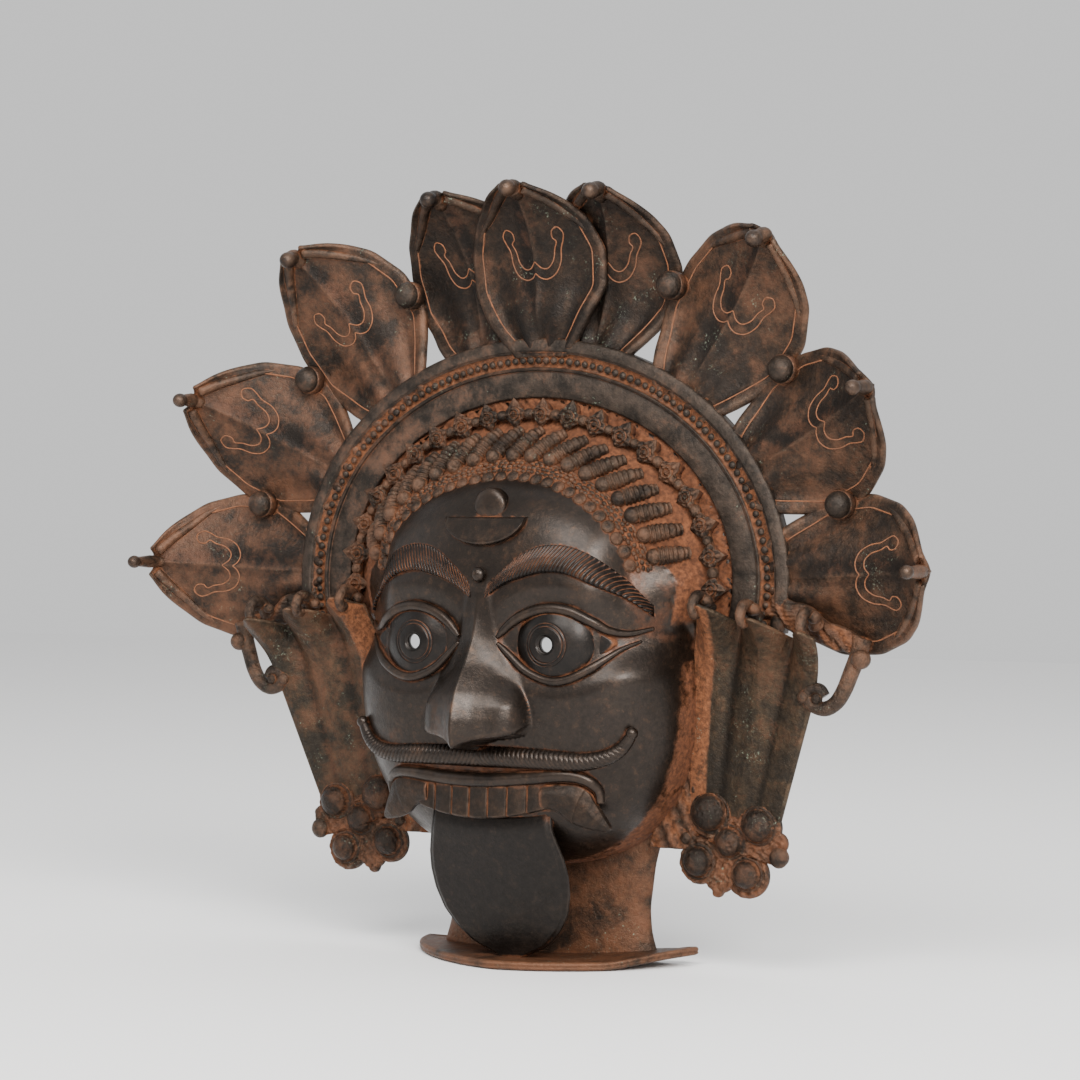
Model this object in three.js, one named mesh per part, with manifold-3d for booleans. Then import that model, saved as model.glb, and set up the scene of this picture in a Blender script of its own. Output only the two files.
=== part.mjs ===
// A cast brass ritual mask: a fierce spirit's face with a hanging tongue, under a halo of serpent hoods.
// It is one hollow casting, open at the back, on a half-round foot of its own.
// Units are millimetres. X runs to the viewer's right, Y to the back and Z up.
// The origin is on the underside of the foot, below the front plane of the halo.

import * as THREE from 'three';
import { mergeVertices } from 'three/addons/utils/BufferGeometryUtils.js';
import Module from 'manifold-3d';

const wasm = await Module();
wasm.setup();

// Driving dimensions
const wall = 4;
const face = {
  middleZ: 140, up: 98, down: 94, halfWidth: 88,
  rimY: 2, depth: 48, dome: 6, chinSink: 6, templeSink: 15, socketSink: 4,
};
const crown = { z: 182, hair: [67.5, 48.8], inner: [106, 87.5], outer: [135.5, 116], thick: 5 };
const band = { start: -0.17, lip: 1.6, channel: [0.5, 0.78] };
const hairBeads = { count: 26, radius: 3, start: 0.12, share: 0.015 };
const locks = { count: 19, start: 0.13, from: 0.2, to: 0.6, height: 3.6, swirl: 0.12 };
const garland = { radii: [99, 79.7], flowers: 20, radius: 6.2, thick: 5 };
const hood = { halfWidth: 36, thick: 3, ridge: 2.2, head: 5, bend: 70 };
const boss = { radius: 6.2, deep: 8 };
const flap = { thick: 3, curl: 20, scroll: 4.5 };
const cluster = { radius: 6.6, thick: 3 };
const eye = { inner: [9, 156], outer: [72, 160.5], up: 13, down: 22, x: 36.5, z: 153, bulge: 6.5, pupil: 3.3 };
const nose = { z: [178, 164, 148, 130, 113, 107, 104.5], wall: 5 };
const tongue = { halfWidth: 38, top: 73, bottom: 3.5, thick: 3.2 };
const neck = { halfWidth: [60, 56, 55, 58, 66], z: [2, 14, 26, 48, 76], backY: 17, depth: 14 };
const foot = { halfWidth: 76, backY: 26, front: 65, roundness: 1.6, thick: 3.5, lift: 4.5 };

// Small helpers
const { cos, sin, PI, abs, sqrt, min, max, hypot, round } = Math;
const lerp = THREE.MathUtils.lerp;
const smooth = THREE.MathUtils.smoothstep;
const at = (x, y, z) => new THREE.Vector3(x, y, z);
const span = (count) => Array.from({ length: count }, (_, i) => i / (count - 1));
const onEllipse = ([a, b], angle) => a * b / hypot(b * cos(angle), a * sin(angle));

// A value read from evenly or unevenly placed stops
function between(stops, values, where) {
  let i = 1;
  while (i < stops.length - 1 && where > stops[i]) i++;
  const share = THREE.MathUtils.clamp((where - stops[i - 1]) / (stops[i] - stops[i - 1]), 0, 1);
  return lerp(values[i - 1], values[i], share);
}

// A closed geometry as a solid, turned right side out
function toSolid(geometry) {
  const bare = geometry.clone();
  for (const name of ['normal', 'uv']) bare.deleteAttribute(name);
  const merged = mergeVertices(bare, 1e-4);
  const xyz = merged.attributes.position.array;
  const tri = new Uint32Array(merged.index.array);
  let volume = 0;
  for (let i = 0; i < tri.length; i += 3) {
    const [a, b, c] = [0, 1, 2].map((k) => new THREE.Vector3().fromArray(xyz, 3 * tri[i + k]));
    volume += a.dot(b.cross(c));
  }
  if (volume < 0) tri.reverse();
  return new wasm.Manifold(
    new wasm.Mesh({ numProp: 3, vertProperties: new Float32Array(xyz), triVerts: tri }),
  );
}

// A solid through closed rings of points, which have the same even count; each end is closed in strips
function loft(rings) {
  const n = rings[0].length;
  const faces = [];
  for (let i = 0; i + 1 < rings.length; i++) {
    for (let j = 0; j < n; j++) {
      const [a, b] = [i * n + j, i * n + (j + 1) % n];
      faces.push(a, b, b + n, a, b + n, a + n);
    }
  }
  const last = (rings.length - 1) * n;
  for (let j = 0; j < n / 2 - 1; j++) {
    const [p, q, r, s] = [j, j + 1, n - 2 - j, n - 1 - j];
    faces.push(p, r, q, p, s, r);
    faces.push(last + p, last + q, last + r, last + p, last + r, last + s);
  }
  const geometry = new THREE.BufferGeometry().setFromPoints(rings.flat());
  geometry.setIndex(faces);
  return toSolid(geometry);
}

// A plate between a front and a back surface, both given by (along, across) from 0 to 1
function plate(rows, columns, front, back) {
  return loft(span(rows).map((u) => [
    ...span(columns).map((v) => front(u, v)),
    ...span(columns).reverse().map((v) => back(u, v)),
  ]));
}

// A round bar along a path of points, with its radius given along it
function bar(path, radius, steps, sides = 6) {
  const curve = new THREE.CatmullRomCurve3(path, false, 'centripetal');
  const frames = curve.computeFrenetFrames(steps, false);
  return loft(span(steps + 1).map((t, i) => {
    const middle = curve.getPoint(t);
    return span(sides + 1).slice(0, sides).map((part) => {
      const turn = 2 * PI * part;
      return middle.clone()
        .addScaledVector(frames.normals[i], radius(t) * cos(turn))
        .addScaledVector(frames.binormals[i], radius(t) * sin(turn));
    });
  }));
}

// A ball, stretched along the axes, from a coarse sphere
function ball(centre, radii, sides = 6, rows = 4) {
  const geometry = new THREE.SphereGeometry(1, sides, rows);
  geometry.rotateX(PI / 2).scale(...radii).translate(centre.x, centre.y, centre.z);
  return toSolid(geometry);
}

// A low dome facing forward, with its foot at the given centre
function dome(centre, radius, height, sides = 6) {
  const profile = [[1, 0], [0.95, -0.45], [0.45, -1]];
  return loft(profile.map(([wide, rise]) => span(sides + 1).slice(0, sides).map((t) => (
    at(radius * wide * cos(2 * PI * t), height * rise, radius * wide * sin(2 * PI * t)).add(centre)))));
}

// A small raised bead, as an eight-sided crystal
function knob(centre, radii) {
  const geometry = new THREE.OctahedronGeometry(1).rotateY(PI / 4);
  geometry.scale(...radii).translate(centre.x, centre.y, centre.z);
  return toSolid(geometry);
}

const mirrored = (solid) => [solid, solid.mirror([1, 0, 0])];

// The bare head. How far out a point lies on the face: 0 in its middle and 1 on its outline
function faceNorm(x, z) {
  const reach = z > face.middleZ ? face.up : face.down;
  return (abs(x / face.halfWidth) ** 2.5 + abs((z - face.middleZ) / reach) ** 2.5) ** 0.4;
}

function skinY(x, z) {
  const out = min(faceNorm(x, z), 1);
  const depth = face.depth - face.chinSink * max(0, face.middleZ - z) / face.down;
  const temple = smooth(abs(x), 50, 82) * smooth(z, 138, 165) * (1 - smooth(z, 185, 215));
  const socket = 1 - smooth(hypot((abs(x) - 40) / 36, (z - 155) / 25), 0.45, 1.1);
  const skin = face.rimY - depth * sqrt(1 - out ** 5) - face.dome * (1 - out ** 2);
  return min(skin + face.templeSink * temple + face.socketSink * socket, face.rimY);
}

// A point of the hair, by its angle round the crown and its share of the way from brow to halo
function onHair(angle, share, lift = 0) {
  const radius = lerp(onEllipse(crown.hair, angle), onEllipse(crown.inner, angle), share);
  const [x, z] = [radius * cos(angle), crown.z + radius * sin(angle)];
  return at(x, headY(x, z) - lift, z);
}

function headY(x, z) {
  const [angle, radius] = [Math.atan2(z - crown.z, x), hypot(x, z - crown.z)];
  const start = onEllipse(crown.hair, angle);
  const share = (radius - start) / (onEllipse(crown.inner, angle) - start);
  if (share <= 0) return skinY(x, z);
  const edge = skinY(start * cos(angle), crown.z + start * sin(angle));
  return lerp(skinY(x, z), lerp(edge, face.rimY, min(share, 1)), smooth(z, 135, 182));
}

// The head's outline seen from the front, by its angle about the middle of the face
function outlineRadius(angle) {
  let [inside, outside] = [0, 160];
  for (let i = 0; i < 30; i++) {
    const radius = (inside + outside) / 2;
    const [x, z] = [radius * cos(angle), face.middleZ + radius * sin(angle)];
    const rise = (z - crown.z) / (z > crown.z ? crown.inner[1] + 3 : 62);
    const isIn = faceNorm(x, z) < 1 || hypot(x / (crown.inner[0] + 3), rise) < 1;
    if (isIn) inside = radius; else outside = radius;
  }
  return inside;
}

// How far back the head's rim runs: shallow at the halo, and back to the neck's edges at the jaw
function rimBack(x, z) {
  const neckY = neck.backY - neck.depth * sqrt(max(0, 1 - (x / 64) ** 2)) + wall;
  return lerp(min(neckY, neck.backY), face.rimY + wall + 1, smooth(z, 66, 135));
}

function headRings(inset, sides, shares) {
  const turns = span(sides + 1).slice(0, sides).map((t) => 2 * PI * (t + 0.5 / sides) - PI / 2);
  const ringAt = (share) => turns.map((angle) => {
    const radius = outlineRadius(angle);
    const [dx, dz] = [cos(angle), sin(angle)];
    const kept = share * (radius - inset);
    const y = headY(share * radius * dx, face.middleZ + share * radius * dz) + inset;
    return at(kept * dx, y, face.middleZ + kept * dz);
  });
  const rings = shares.map(ringAt);
  const rim = rings.at(-1).map(({ x, z }) => at(x, rimBack(x, z) + 3 * inset, z));
  return [...rings, rim];
}

function headShell() {
  const outside = loft(headRings(0, 28, [0.14, 0.4, 0.62, 0.8, 0.92, 1]));
  return outside.subtract(loft(headRings(wall, 28, [0.2, 0.6, 0.85, 1])));
}

// The nose: a wedge with a sharp crest, hollow from behind
function noseWedge(inset) {
  const widths = [5, 7.4, 9.4, 16, 28, 27, 22];
  const crest = [-50.5, -53.8, -61.2, -73, -77.2, -77.6, -75];
  const side = [-49, -50, -50, -51, -53.5, -51, -48];
  const rise = [0, 0, 0, 0, 1.5, 5, 8];
  const root = -38 + inset;
  return loft(nose.z.map((z, i) => {
    const w = max(widths[i] - inset, 1.5);
    const [c, s] = [crest[i] + inset * 1.4, side[i] + inset];
    const [mid, low] = [z + inset + rise[i] * 0.4, z + inset];
    const up = low + rise[i];
    const cheek = lerp(s, c, 0.62);
    return [
      at(-w, root, up), at(-w, s, up), at(-0.5 * w, cheek, mid), at(0, c, low),
      at(0.5 * w, cheek, mid), at(w, s, up), at(w, root, up), at(0, root, low),
    ];
  }));
}

// The eyes: bulging almonds inside a raised lid. Rings run from the lid's outer foot to the ball's top:
// [size, lift off the face, share of the way to the pupil]
function eyeAlmond() {
  const rings = [[1.08, -3.4, 0], [1.02, 3.4, 0], [0.9, 0.8, 0], [0.6, 4.6, 0.6], [0.25, eye.bulge, 1]];
  const sides = 12;
  return loft(rings.map(([size, lift, shift]) => span(sides + 1).slice(0, sides).map((t) => {
    const turn = 2 * PI * (t + 0.5 / sides);
    const along = 0.5 + 0.5 * size * cos(turn);
    const rise = (sin(turn) > 0 ? eye.up : eye.down) * size * sin(turn) * abs(sin(turn)) ** 0.3;
    const [x, z] = [lerp(eye.inner[0], eye.outer[0], along), lerp(eye.inner[1], eye.outer[1], along) + rise];
    const [dx, dz] = [eye.x - (eye.inner[0] + eye.outer[0]) / 2, eye.z - (eye.inner[1] + eye.outer[1]) / 2];
    return at(x + dx * shift, headY(x, z) - lift, z + dz * shift);
  })));
}

// A pupil's hole through the ball and the wall
function pupilHole() {
  const drill = new THREE.CylinderGeometry(eye.pupil, eye.pupil, 60, 8);
  drill.translate(eye.x - 1.6, -45, eye.z - 0.5);
  return toSolid(drill);
}

// A raised strip on the face, between two edges given by how far along it they are
function faceStrip(rows, columns, place, lift) {
  return plate(rows, columns, (u, v) => {
    const [x, z] = place(u, v);
    return at(x, headY(x, z) - lift * sqrt(max(0, 1 - (2 * v - 1) ** 2)) - 0.2, z);
  }, (u, v) => {
    const [x, z] = place(u, v);
    return at(x, headY(x, z) + 2, z);
  });
}

function brow() {
  return faceStrip(8, 3, (u, v) => {
    const x = lerp(4, 76, u);
    const middle = 177 + 20 * sin(PI * u) ** 0.9 - 8 * u;
    const half = lerp(3, 6.6, smooth(u, 0, 0.4)) * lerp(1, 0.35, smooth(u, 0.6, 1));
    return [x, middle + (2 * v - 1) * half];
  }, 3);
}

// The forehead marks: a disc over a crescent, and a small round dot between the brows
function foreheadMarks() {
  const disc = dome(at(0, headY(0, 217.5) + 1.5, 217.5), 8.6, 4.6, 10);
  const dot = ball(at(0, headY(0, 185.5) - 1.5, 185.5), [3.6, 3, 3.6]);
  const half = 21.5;
  const crescent = plate(7, 2, (u, v) => {
    const x = lerp(-half, half, u);
    const z = 212 - 13.3 * v * sqrt(max(0, 1 - (x / half) ** 2)) - 0.3 * v;
    return at(x, headY(x, z) - lerp(2.6, 4, v), z);
  }, (u, v) => {
    const x = lerp(-half, half, u);
    return at(x, headY(x, 206) + 4, 212 - 13.3 * v * sqrt(max(0, 1 - (x / half) ** 2)) - 0.3 * v);
  });
  return [disc, dot, crescent];
}

// The moustache, upper lip, teeth and fangs
function moustache() {
  const path = [[0, 101.5, -1.5], [24, 101, 0], [46, 101, 1], [62, 103, 2], [71, 108, 3], [74.5, 115.5, 5]];
  const half = path.map(([x, z, lift]) => at(x, headY(x, z) - lift, z));
  const whole = [...half.slice(1).reverse().map((p) => at(-p.x, p.y, p.z)), ...half];
  return bar(whole, (t) => lerp(2.2, 5.2, sin(PI * t) ** 0.6), 12, 4);
}

const mouthY = (x) => -47.6 + 0.0034 * x * x;

function upperLip() {
  const path = span(9).map((t) => {
    const x = lerp(-60, 60, t);
    return at(x, mouthY(x) + 2.2, 91 - 7 * abs(x / 60) ** 3);
  });
  return bar(path, (t) => lerp(2, 4.2, sin(PI * t) ** 0.5), 8, 4);
}

function teeth() {
  const width = 66 / 7;
  return span(7).map((t) => {
    const middle = lerp(-33 + width / 2, 33 - width / 2, t);
    return plate(2, 3, (u, v) => {
      const x = middle + (v - 0.5) * width * 1.002;
      return at(x, mouthY(x) - 1.4 * sin(PI * v) - 0.4 - u, lerp(89, 73.5, u));
    }, (u, v) => at(middle + (v - 0.5) * width * 1.002, mouthY(middle) + 7, lerp(89, 73.5, u)));
  });
}

function fang() {
  const path = [at(35, -43.5, 82), at(45.6, -42, 80), at(52.4, -39, 74), at(60, -35, 66)];
  return bar(path, (t) => lerp(6.4, 0.7, t ** 1.6), 4, 6);
}

// The jaw behind the teeth, which carries them and the tongue's root
const gum = () => plate(2, 5, (u, v) => {
  const x = lerp(-50, 50, v) * (1 - 0.35 * u);
  return at(x, mouthY(x) + lerp(2, 7, u), lerp(92, 76, u));
}, (u, v) => {
  const x = lerp(-50, 50, v) * (1 - 0.35 * u);
  return at(x, headY(x, 84) + 1, lerp(92, 76, u));
});

// The tongue: a broad hanging slab whose rounded tip stands on the foot
function tongueSlab() {
  const surface = (u, v, back) => {
    const z = lerp(tongue.top, tongue.bottom, u);
    const swell = between([0, 0.12, 0.45, 0.75, 0.9, 1], [0.86, 0.86, 1, 0.8, 0.52, 0.2], u);
    const x = tongue.halfWidth * swell * (2 * v - 1);
    const y = between([0, 0.1, 0.45, 1], [-40, -42, -33, -20], u);
    return at(x, y + back * tongue.thick, z);
  };
  const slab = plate(8, 5, (u, v) => surface(u, v, 0), (u, v) => surface(u, v, 1));
  const root = plate(2, 2, (u, v) => at(lerp(-31, 31, v), -42, lerp(80, 70, u)),
    (u, v) => at(lerp(-31, 31, v), -36, lerp(80, 70, u)));
  return [slab, root];
}

// The halo: a wide arch with a bead channel between two lips
function haloPoint(angle, share, y) {
  const radius = lerp(onEllipse(crown.inner, angle), onEllipse(crown.outer, angle), share);
  return at(radius * cos(angle), y, crown.z + radius * sin(angle));
}

function haloArch() {
  const [low, high] = band.channel;
  const profile = [
    [0, 0], [low - 0.04, 0], [low, -band.lip], [high - 0.04, 0.3],
    [high, -band.lip], [1, -0.6], [1, crown.thick], [0, crown.thick],
  ];
  return loft(span(25).map((t) => {
    const angle = lerp(band.start, PI - band.start, t);
    return profile.map(([share, y]) => haloPoint(angle, share, y));
  }));
}

// The hair: a row of beads and a swirl of locks that lean with the crown
const crownAngle = (t, start) => lerp(start, PI - start, t);

const hairline = () => span(hairBeads.count).map((t) => {
  const r = hairBeads.radius;
  return knob(onHair(crownAngle(t, hairBeads.start), hairBeads.share, 0.4), [r, r * 0.9, r]);
});

function hairLocks() {
  const rows = [[0, 0.6], [0.16, 1], [1, 0.35]];
  const surface = (u, v, back) => {
    const [along, height] = rows[round(u * (rows.length - 1))];
    const angle = crownAngle(v, locks.start);
    const lean = locks.swirl * (sin(angle) ** 2 + max(0, -cos(angle)));
    const ridge = round(v * 2 * locks.count) % 2;
    const place = onHair(angle - lean * along, lerp(locks.from, locks.to, along));
    place.y += back ? 2.5 : -0.3 - locks.height * height * ridge;
    return place;
  };
  return plate(rows.length, 2 * locks.count + 1, (u, v) => surface(u, v, false), (u, v) => surface(u, v, true));
}

// The garland: a row of six-sided flowers
function garlandPoint(angle, lift) {
  const radius = onEllipse(garland.radii, angle);
  const [x, z] = [radius * cos(angle), crown.z + radius * sin(angle)];
  return at(x, headY(x, z) - lift, z);
}

function flower(angle) {
  const { x, y, z } = garlandPoint(angle, garland.thick);
  const star = new THREE.SphereGeometry(1, 6, 2).scale(garland.radius, garland.thick, garland.radius);
  return toSolid(star.rotateY(-angle).translate(x, y + garland.thick * 0.6, z));
}

const garlandRow = () => span(garland.flowers).map((t) => flower(crownAngle(t, -0.02)));

// The serpent hoods: [root x, root z, root y, tip x, tip y, tip z, how far the leaf stands forward of the ring]
const hoodPlaces = [
  [0, 290, -0.4, 0, -26.7, 373, 7],
  [30, 286, 1.7, 46, -21, 369, -2],
  [76, 264, 0.8, 131, -20, 343, 0],
  [108, 230, 0.8, 186.4, -32, 271, 0],
  [122, 184, 0.8, 213, -31, 189, 0],
];

function serpentHood([rootX, rootZ, rootY, tipX, tipY, tipZ, forward]) {
  const along = at(tipX - rootX, 0, tipZ - rootZ);
  const length = along.length();
  along.normalize();
  const across = at(along.z, 0, -along.x);
  const outline = [[0, 0.2, 0.5, 0.8, 0.93, 1], [0.4, 0.75, 1.02, 0.85, 0.52, 0.12]];
  const surface = (u, v, back) => {
    const half = hood.halfWidth * between(...outline, u);
    const side = 2 * v - 1;
    const crease = hood.ridge * (1 - abs(side)) * smooth(u, 0.1, 0.5) * (1 - u);
    const fallBack = (side * half) ** 2 / (2 * hood.bend) - forward;
    const y = lerp(rootY, tipY + forward, u ** 3) - crease + fallBack * smooth(u, 0.05, 0.3);
    const place = at(rootX, y + back * hood.thick, rootZ);
    return place.addScaledVector(along, u * length).addScaledVector(across, side * half);
  };
  const rows = outline[0].length;
  const stop = (u) => outline[0][round(u * (rows - 1))];
  const leaf = plate(rows, 5, (u, v) => surface(stop(u), v, 0), (u, v) => surface(stop(u), v, 1));
  const r = hood.head;
  const head = knob(at(tipX, tipY + 1, tipZ).addScaledVector(along, -1), [r * 0.9, r, r * 0.9]);
  return [leaf, head];
}

function hoods() {
  const [middle, ...sides] = hoodPlaces;
  const whole = sides.flatMap((place) => serpentHood(place).flatMap(mirrored));
  return [...serpentHood(middle), ...whole];
}

// The bosses that tie neighbouring hoods together
const bossPlaces = [[73, 1, 321], [131.6, 0, 280.5], [160.5, 0.5, 218.4]];
const bosses = () => bossPlaces.flatMap(([x, y, z]) => (
  mirrored(ball(at(x, y, z), [boss.radius, boss.deep, boss.radius]))));

// The ear flaps: pleated plates whose tops curl forward in three scrolls
function earFlap() {
  const [stops, heights] = [[0, 0.14, 0.34, 0.52, 0.74, 0.92, 1], [0.25, 1, 0.1, 1, 0, 1, 0.7]];
  const surface = (u, column, back) => {
    const inner = [between([0, 0.3, 1], [93, 85, 72], u), lerp(174, 66, u)];
    const outer = [between([0, 0.3, 1], [157, 148, 124], u), lerp(160, 62, u)];
    const [v, pleat] = [stops[column], heights[column]];
    const drop = (1 - pleat) * 9 * max(0, 1 - u * 6);
    const forward = pleat * (flap.curl * max(0, 1 - u * 3.2) ** 2 + 5 * (1 - u)) + 5 * (1 - u);
    return at(lerp(inner[0], outer[0], v), lerp(2, 7, u) - forward + back * flap.thick,
      lerp(inner[1], outer[1], v) - drop);
  };
  const last = stops.length - 1;
  const sheet = plate(5, stops.length, (u, v) => surface(u ** 1.5, round(v * last), 0),
    (u, v) => surface(u ** 1.5, round(v * last), 1));
  const scrolls = [1, 3, 5].map((column) => {
    const { x, y, z } = surface(0, column, 0);
    return knob(at(x, y - 1, z - 2), [flap.scroll, 4, 4.5]);
  });
  return [sheet, ...scrolls];
}

// The clusters of bosses that hang under the flaps
function bossCluster() {
  const domes = [[116.6, 69], [90, 73.6], [102, 60], [109.8, 45.5], [84.5, 50]];
  const base = plate(6, 3, (u, v) => clusterPlate(u, v, 0), (u, v) => clusterPlate(u, v, 1));
  const knobs = domes.map(([x, z], i) => {
    const r = cluster.radius * (i === 2 ? 0.85 : 1);
    return dome(at(x, 6.5, z), r, r + 1);
  });
  return [base, ...knobs, knob(at(128, 7, 55.5), [4.6, 4, 5])];
}

function clusterPlate(u, v, back) {
  const row = round(u * 5);
  const [middle, half, z] = [
    [103, 26, 71], [102.5, 26, 60], [101, 25, 50], [98, 22.5, 41], [96, 17, 36.5], [94, 4, 33],
  ][row];
  return at(middle + half * (2 * v - 1), 5.5 + back * cluster.thick, z);
}

// The tendrils that spring from the lowest hoods and curl in to the flaps
function tendril() {
  const spiral = span(7).map((t) => {
    const turn = lerp(-0.1, -1.55 * PI, t);
    const radius = lerp(9, 3.2, t);
    return at(155 + radius * cos(turn), -1, 131 + radius * sin(turn));
  });
  const path = [at(170, 2.2, 164), at(170, 2, 150), at(165.5, -0.5, 138), ...spiral];
  return [bar(path, (t) => lerp(3, 2.4, t), 9, 4), knob(at(172, -1, 147), [5, 5, 5])];
}

// The neck, a half tube open at the back, and the foot it stands on
function neckTube() {
  const surface = (u, v, inset) => {
    const angle = PI * (1 - v);
    const top = lerp(50, 84, abs(cos(angle)) ** 1.6);
    const z = lerp(2, top, u);
    const half = between(neck.z, neck.halfWidth, z) - inset;
    return at(half * cos(angle), neck.backY - (neck.depth - inset) * sin(angle), z);
  };
  return plate(4, 9, (u, v) => surface(u, v, 0), (u, v) => surface(u, v, wall));
}

function footPlate() {
  const power = 2 / foot.roundness;
  const surface = (u, v, z) => {
    const turn = PI * (1 - u);
    const x = foot.halfWidth * Math.sign(cos(turn)) * abs(cos(turn)) ** power;
    const y = foot.backY - v * foot.front * sin(turn) ** power;
    return at(x, y, z + foot.lift * smooth(x, 46, foot.halfWidth));
  };
  return plate(15, 2, (u, v) => surface(u * 0.97 + 0.015, v, 0),
    (u, v) => surface(u * 0.97 + 0.015, v, foot.thick));
}

// One casting: everything is joined, and the pupils are pierced
function casting() {
  const pieces = [
    headShell(), noseWedge(0), ...mirrored(eyeAlmond()), ...mirrored(brow()), ...foreheadMarks(),
    moustache(), upperLip(), gum(), ...teeth(), ...mirrored(fang()), ...tongueSlab(),
    haloArch(), ...hairline(), hairLocks(), ...garlandRow(), ...hoods(), ...bosses(),
    ...earFlap().flatMap(mirrored), ...bossCluster().flatMap(mirrored),
    ...tendril().flatMap(mirrored), neckTube(), footPlate(),
  ];
  const cuts = [...mirrored(pupilHole()), noseWedge(nose.wall)];
  return cuts.reduce((body, cut) => body.subtract(cut), wasm.Manifold.union(pieces));
}

// A solid as a named mesh with its own material
function mesh(name, solid, finish) {
  const { vertProperties, triVerts } = solid.getMesh();
  const geometry = new THREE.BufferGeometry();
  geometry.setAttribute('position', new THREE.BufferAttribute(vertProperties, 3));
  geometry.setIndex(new THREE.BufferAttribute(triVerts, 1));
  geometry.computeVertexNormals();
  const made = new THREE.Mesh(geometry, new THREE.MeshStandardMaterial(finish));
  made.name = name;
  return made;
}

const mask = new THREE.Group();
mask.name = 'bhuta_mask_group';
mask.add(mesh('bhuta_mask', casting(), { color: 0x4a3328, roughness: 0.55, metalness: 0.75 }));

export default mask;
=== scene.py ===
# Bhuta ritual mask: the looks of one brass casting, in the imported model's own frame.
# Sizes below are in millimetres and become metres when a mesh is made. Lights, floor and wear are in metres.
import math
import bpy
import numpy as np
from mathutils import Matrix, Vector
from mathutils.bvhtree import BVHTree


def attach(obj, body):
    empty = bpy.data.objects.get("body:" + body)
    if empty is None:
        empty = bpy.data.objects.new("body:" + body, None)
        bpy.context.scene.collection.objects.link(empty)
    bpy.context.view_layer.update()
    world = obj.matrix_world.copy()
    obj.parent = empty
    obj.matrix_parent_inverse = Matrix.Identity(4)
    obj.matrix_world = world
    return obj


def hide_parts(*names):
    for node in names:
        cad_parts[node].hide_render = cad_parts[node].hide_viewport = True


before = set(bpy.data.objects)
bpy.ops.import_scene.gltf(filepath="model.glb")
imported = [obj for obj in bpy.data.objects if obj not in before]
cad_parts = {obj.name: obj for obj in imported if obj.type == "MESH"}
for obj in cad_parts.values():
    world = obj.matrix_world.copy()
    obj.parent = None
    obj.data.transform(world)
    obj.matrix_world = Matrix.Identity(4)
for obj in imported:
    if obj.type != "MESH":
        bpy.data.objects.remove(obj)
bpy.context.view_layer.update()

pi = math.pi


# camera, lights and floor

view = {"azimuth": 30.6, "elevation": 0.5, "roll": 0.2, "distance": 1500.0, "aimZ": 200.9,
        "focalPixels": 3125.0, "imagePixels": 1080.0, "shift": (0.0051, 0.0007)}


def placeCamera(values):
    az, el, roll = (math.radians(values[key]) for key in ("azimuth", "elevation", "roll"))
    back = Vector((math.sin(az) * math.cos(el), -math.cos(az) * math.cos(el), math.sin(el)))
    right = Vector((math.cos(az), math.sin(az), 0))
    up = back.cross(right)
    right, up = (right * math.cos(roll) + up * math.sin(roll),
                 up * math.cos(roll) - right * math.sin(roll))
    place = Vector((0, 0, values["aimZ"] * 0.001)) + back * values["distance"] * 0.001
    data = bpy.data.cameras.new("camera")
    data.sensor_width = 36
    data.lens = 36 * values["focalPixels"] / values["imagePixels"]
    data.shift_x, data.shift_y = values["shift"]
    data.clip_start, data.clip_end = 0.05, 30
    camera = bpy.data.objects.new("camera", data)
    turn = Matrix((right, up, back)).transposed().to_4x4()
    camera.matrix_world = Matrix.Translation(place) @ turn
    bpy.context.scene.collection.objects.link(camera)
    bpy.context.scene.camera = camera


lightPlaces = {  # place and aim in metres, size, strength, colour
    "keyLight": ((1.45, -1.35, 1.15), (0, 0, 0.2), 0.9, 66, (1, 0.98, 0.95)),
    "sideLight": ((-1.7, -1.0, 0.9), (0, 0, 0.2), 1.2, 4, (0.96, 0.98, 1)),
    "topLight": ((0.1, 0.3, 1.9), (0, 0, 0.1), 1.6, 8, (1, 1, 1)),
    "frontLight": ((0.25, -1.55, 1.5), (0, 0, 0.2), 1.1, 42, (1, 0.985, 0.96)),
}
roomLight = 0.88


def placeLights(places):
    for name, (place, aim, size, strength, colour) in places.items():
        data = bpy.data.lights.new(name, "AREA")
        data.shape, data.size, data.energy, data.color = "SQUARE", size, strength, colour
        light = bpy.data.objects.new(name, data)
        light.location = place
        light.rotation_euler = (Vector(place) - Vector(aim)).to_track_quat("Z", "Y").to_euler()
        bpy.context.scene.collection.objects.link(light)
    world = bpy.data.worlds.new("paleRoom")
    world.use_nodes = True
    shade = world.node_tree.nodes["Background"]
    shade.inputs["Color"].default_value = (0.96, 0.96, 0.96, 1)
    shade.inputs["Strength"].default_value = roomLight
    bpy.context.scene.world = world


def link(obj):
    bpy.context.scene.collection.objects.link(obj)
    return obj


def placeFloor():
    mesh = bpy.data.meshes.new("floor")
    size, low = 3.0, -0.0005
    mesh.from_pydata([(-size, -size, low), (size, -size, low), (size, size, low), (-size, size, low)],
                     [], [(0, 1, 2, 3)])
    floor = link(bpy.data.objects.new("floor", mesh))
    stuff = bpy.data.materials.new("palePaper")
    stuff.use_nodes = True
    shader = stuff.node_tree.nodes["Principled BSDF"]
    shader.inputs["Base Color"].default_value = (0.9, 0.9, 0.9, 1)
    shader.inputs["Roughness"].default_value = 0.9
    mesh.materials.append(stuff)


placeCamera(view)
placeLights(lightPlaces)
placeFloor()
print("camera, lights and floor are set")


# the head's surface, as the solid has it

face = {"middleZ": 140, "up": 98, "down": 94, "halfWidth": 88, "rimY": 2, "depth": 48, "dome": 6,
        "chinSink": 6, "templeSink": 15, "socketSink": 4, "wall": 4}
crown = {"z": 182, "hair": (67.5, 48.8), "inner": (106, 87.5), "outer": (135.5, 116)}
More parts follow.
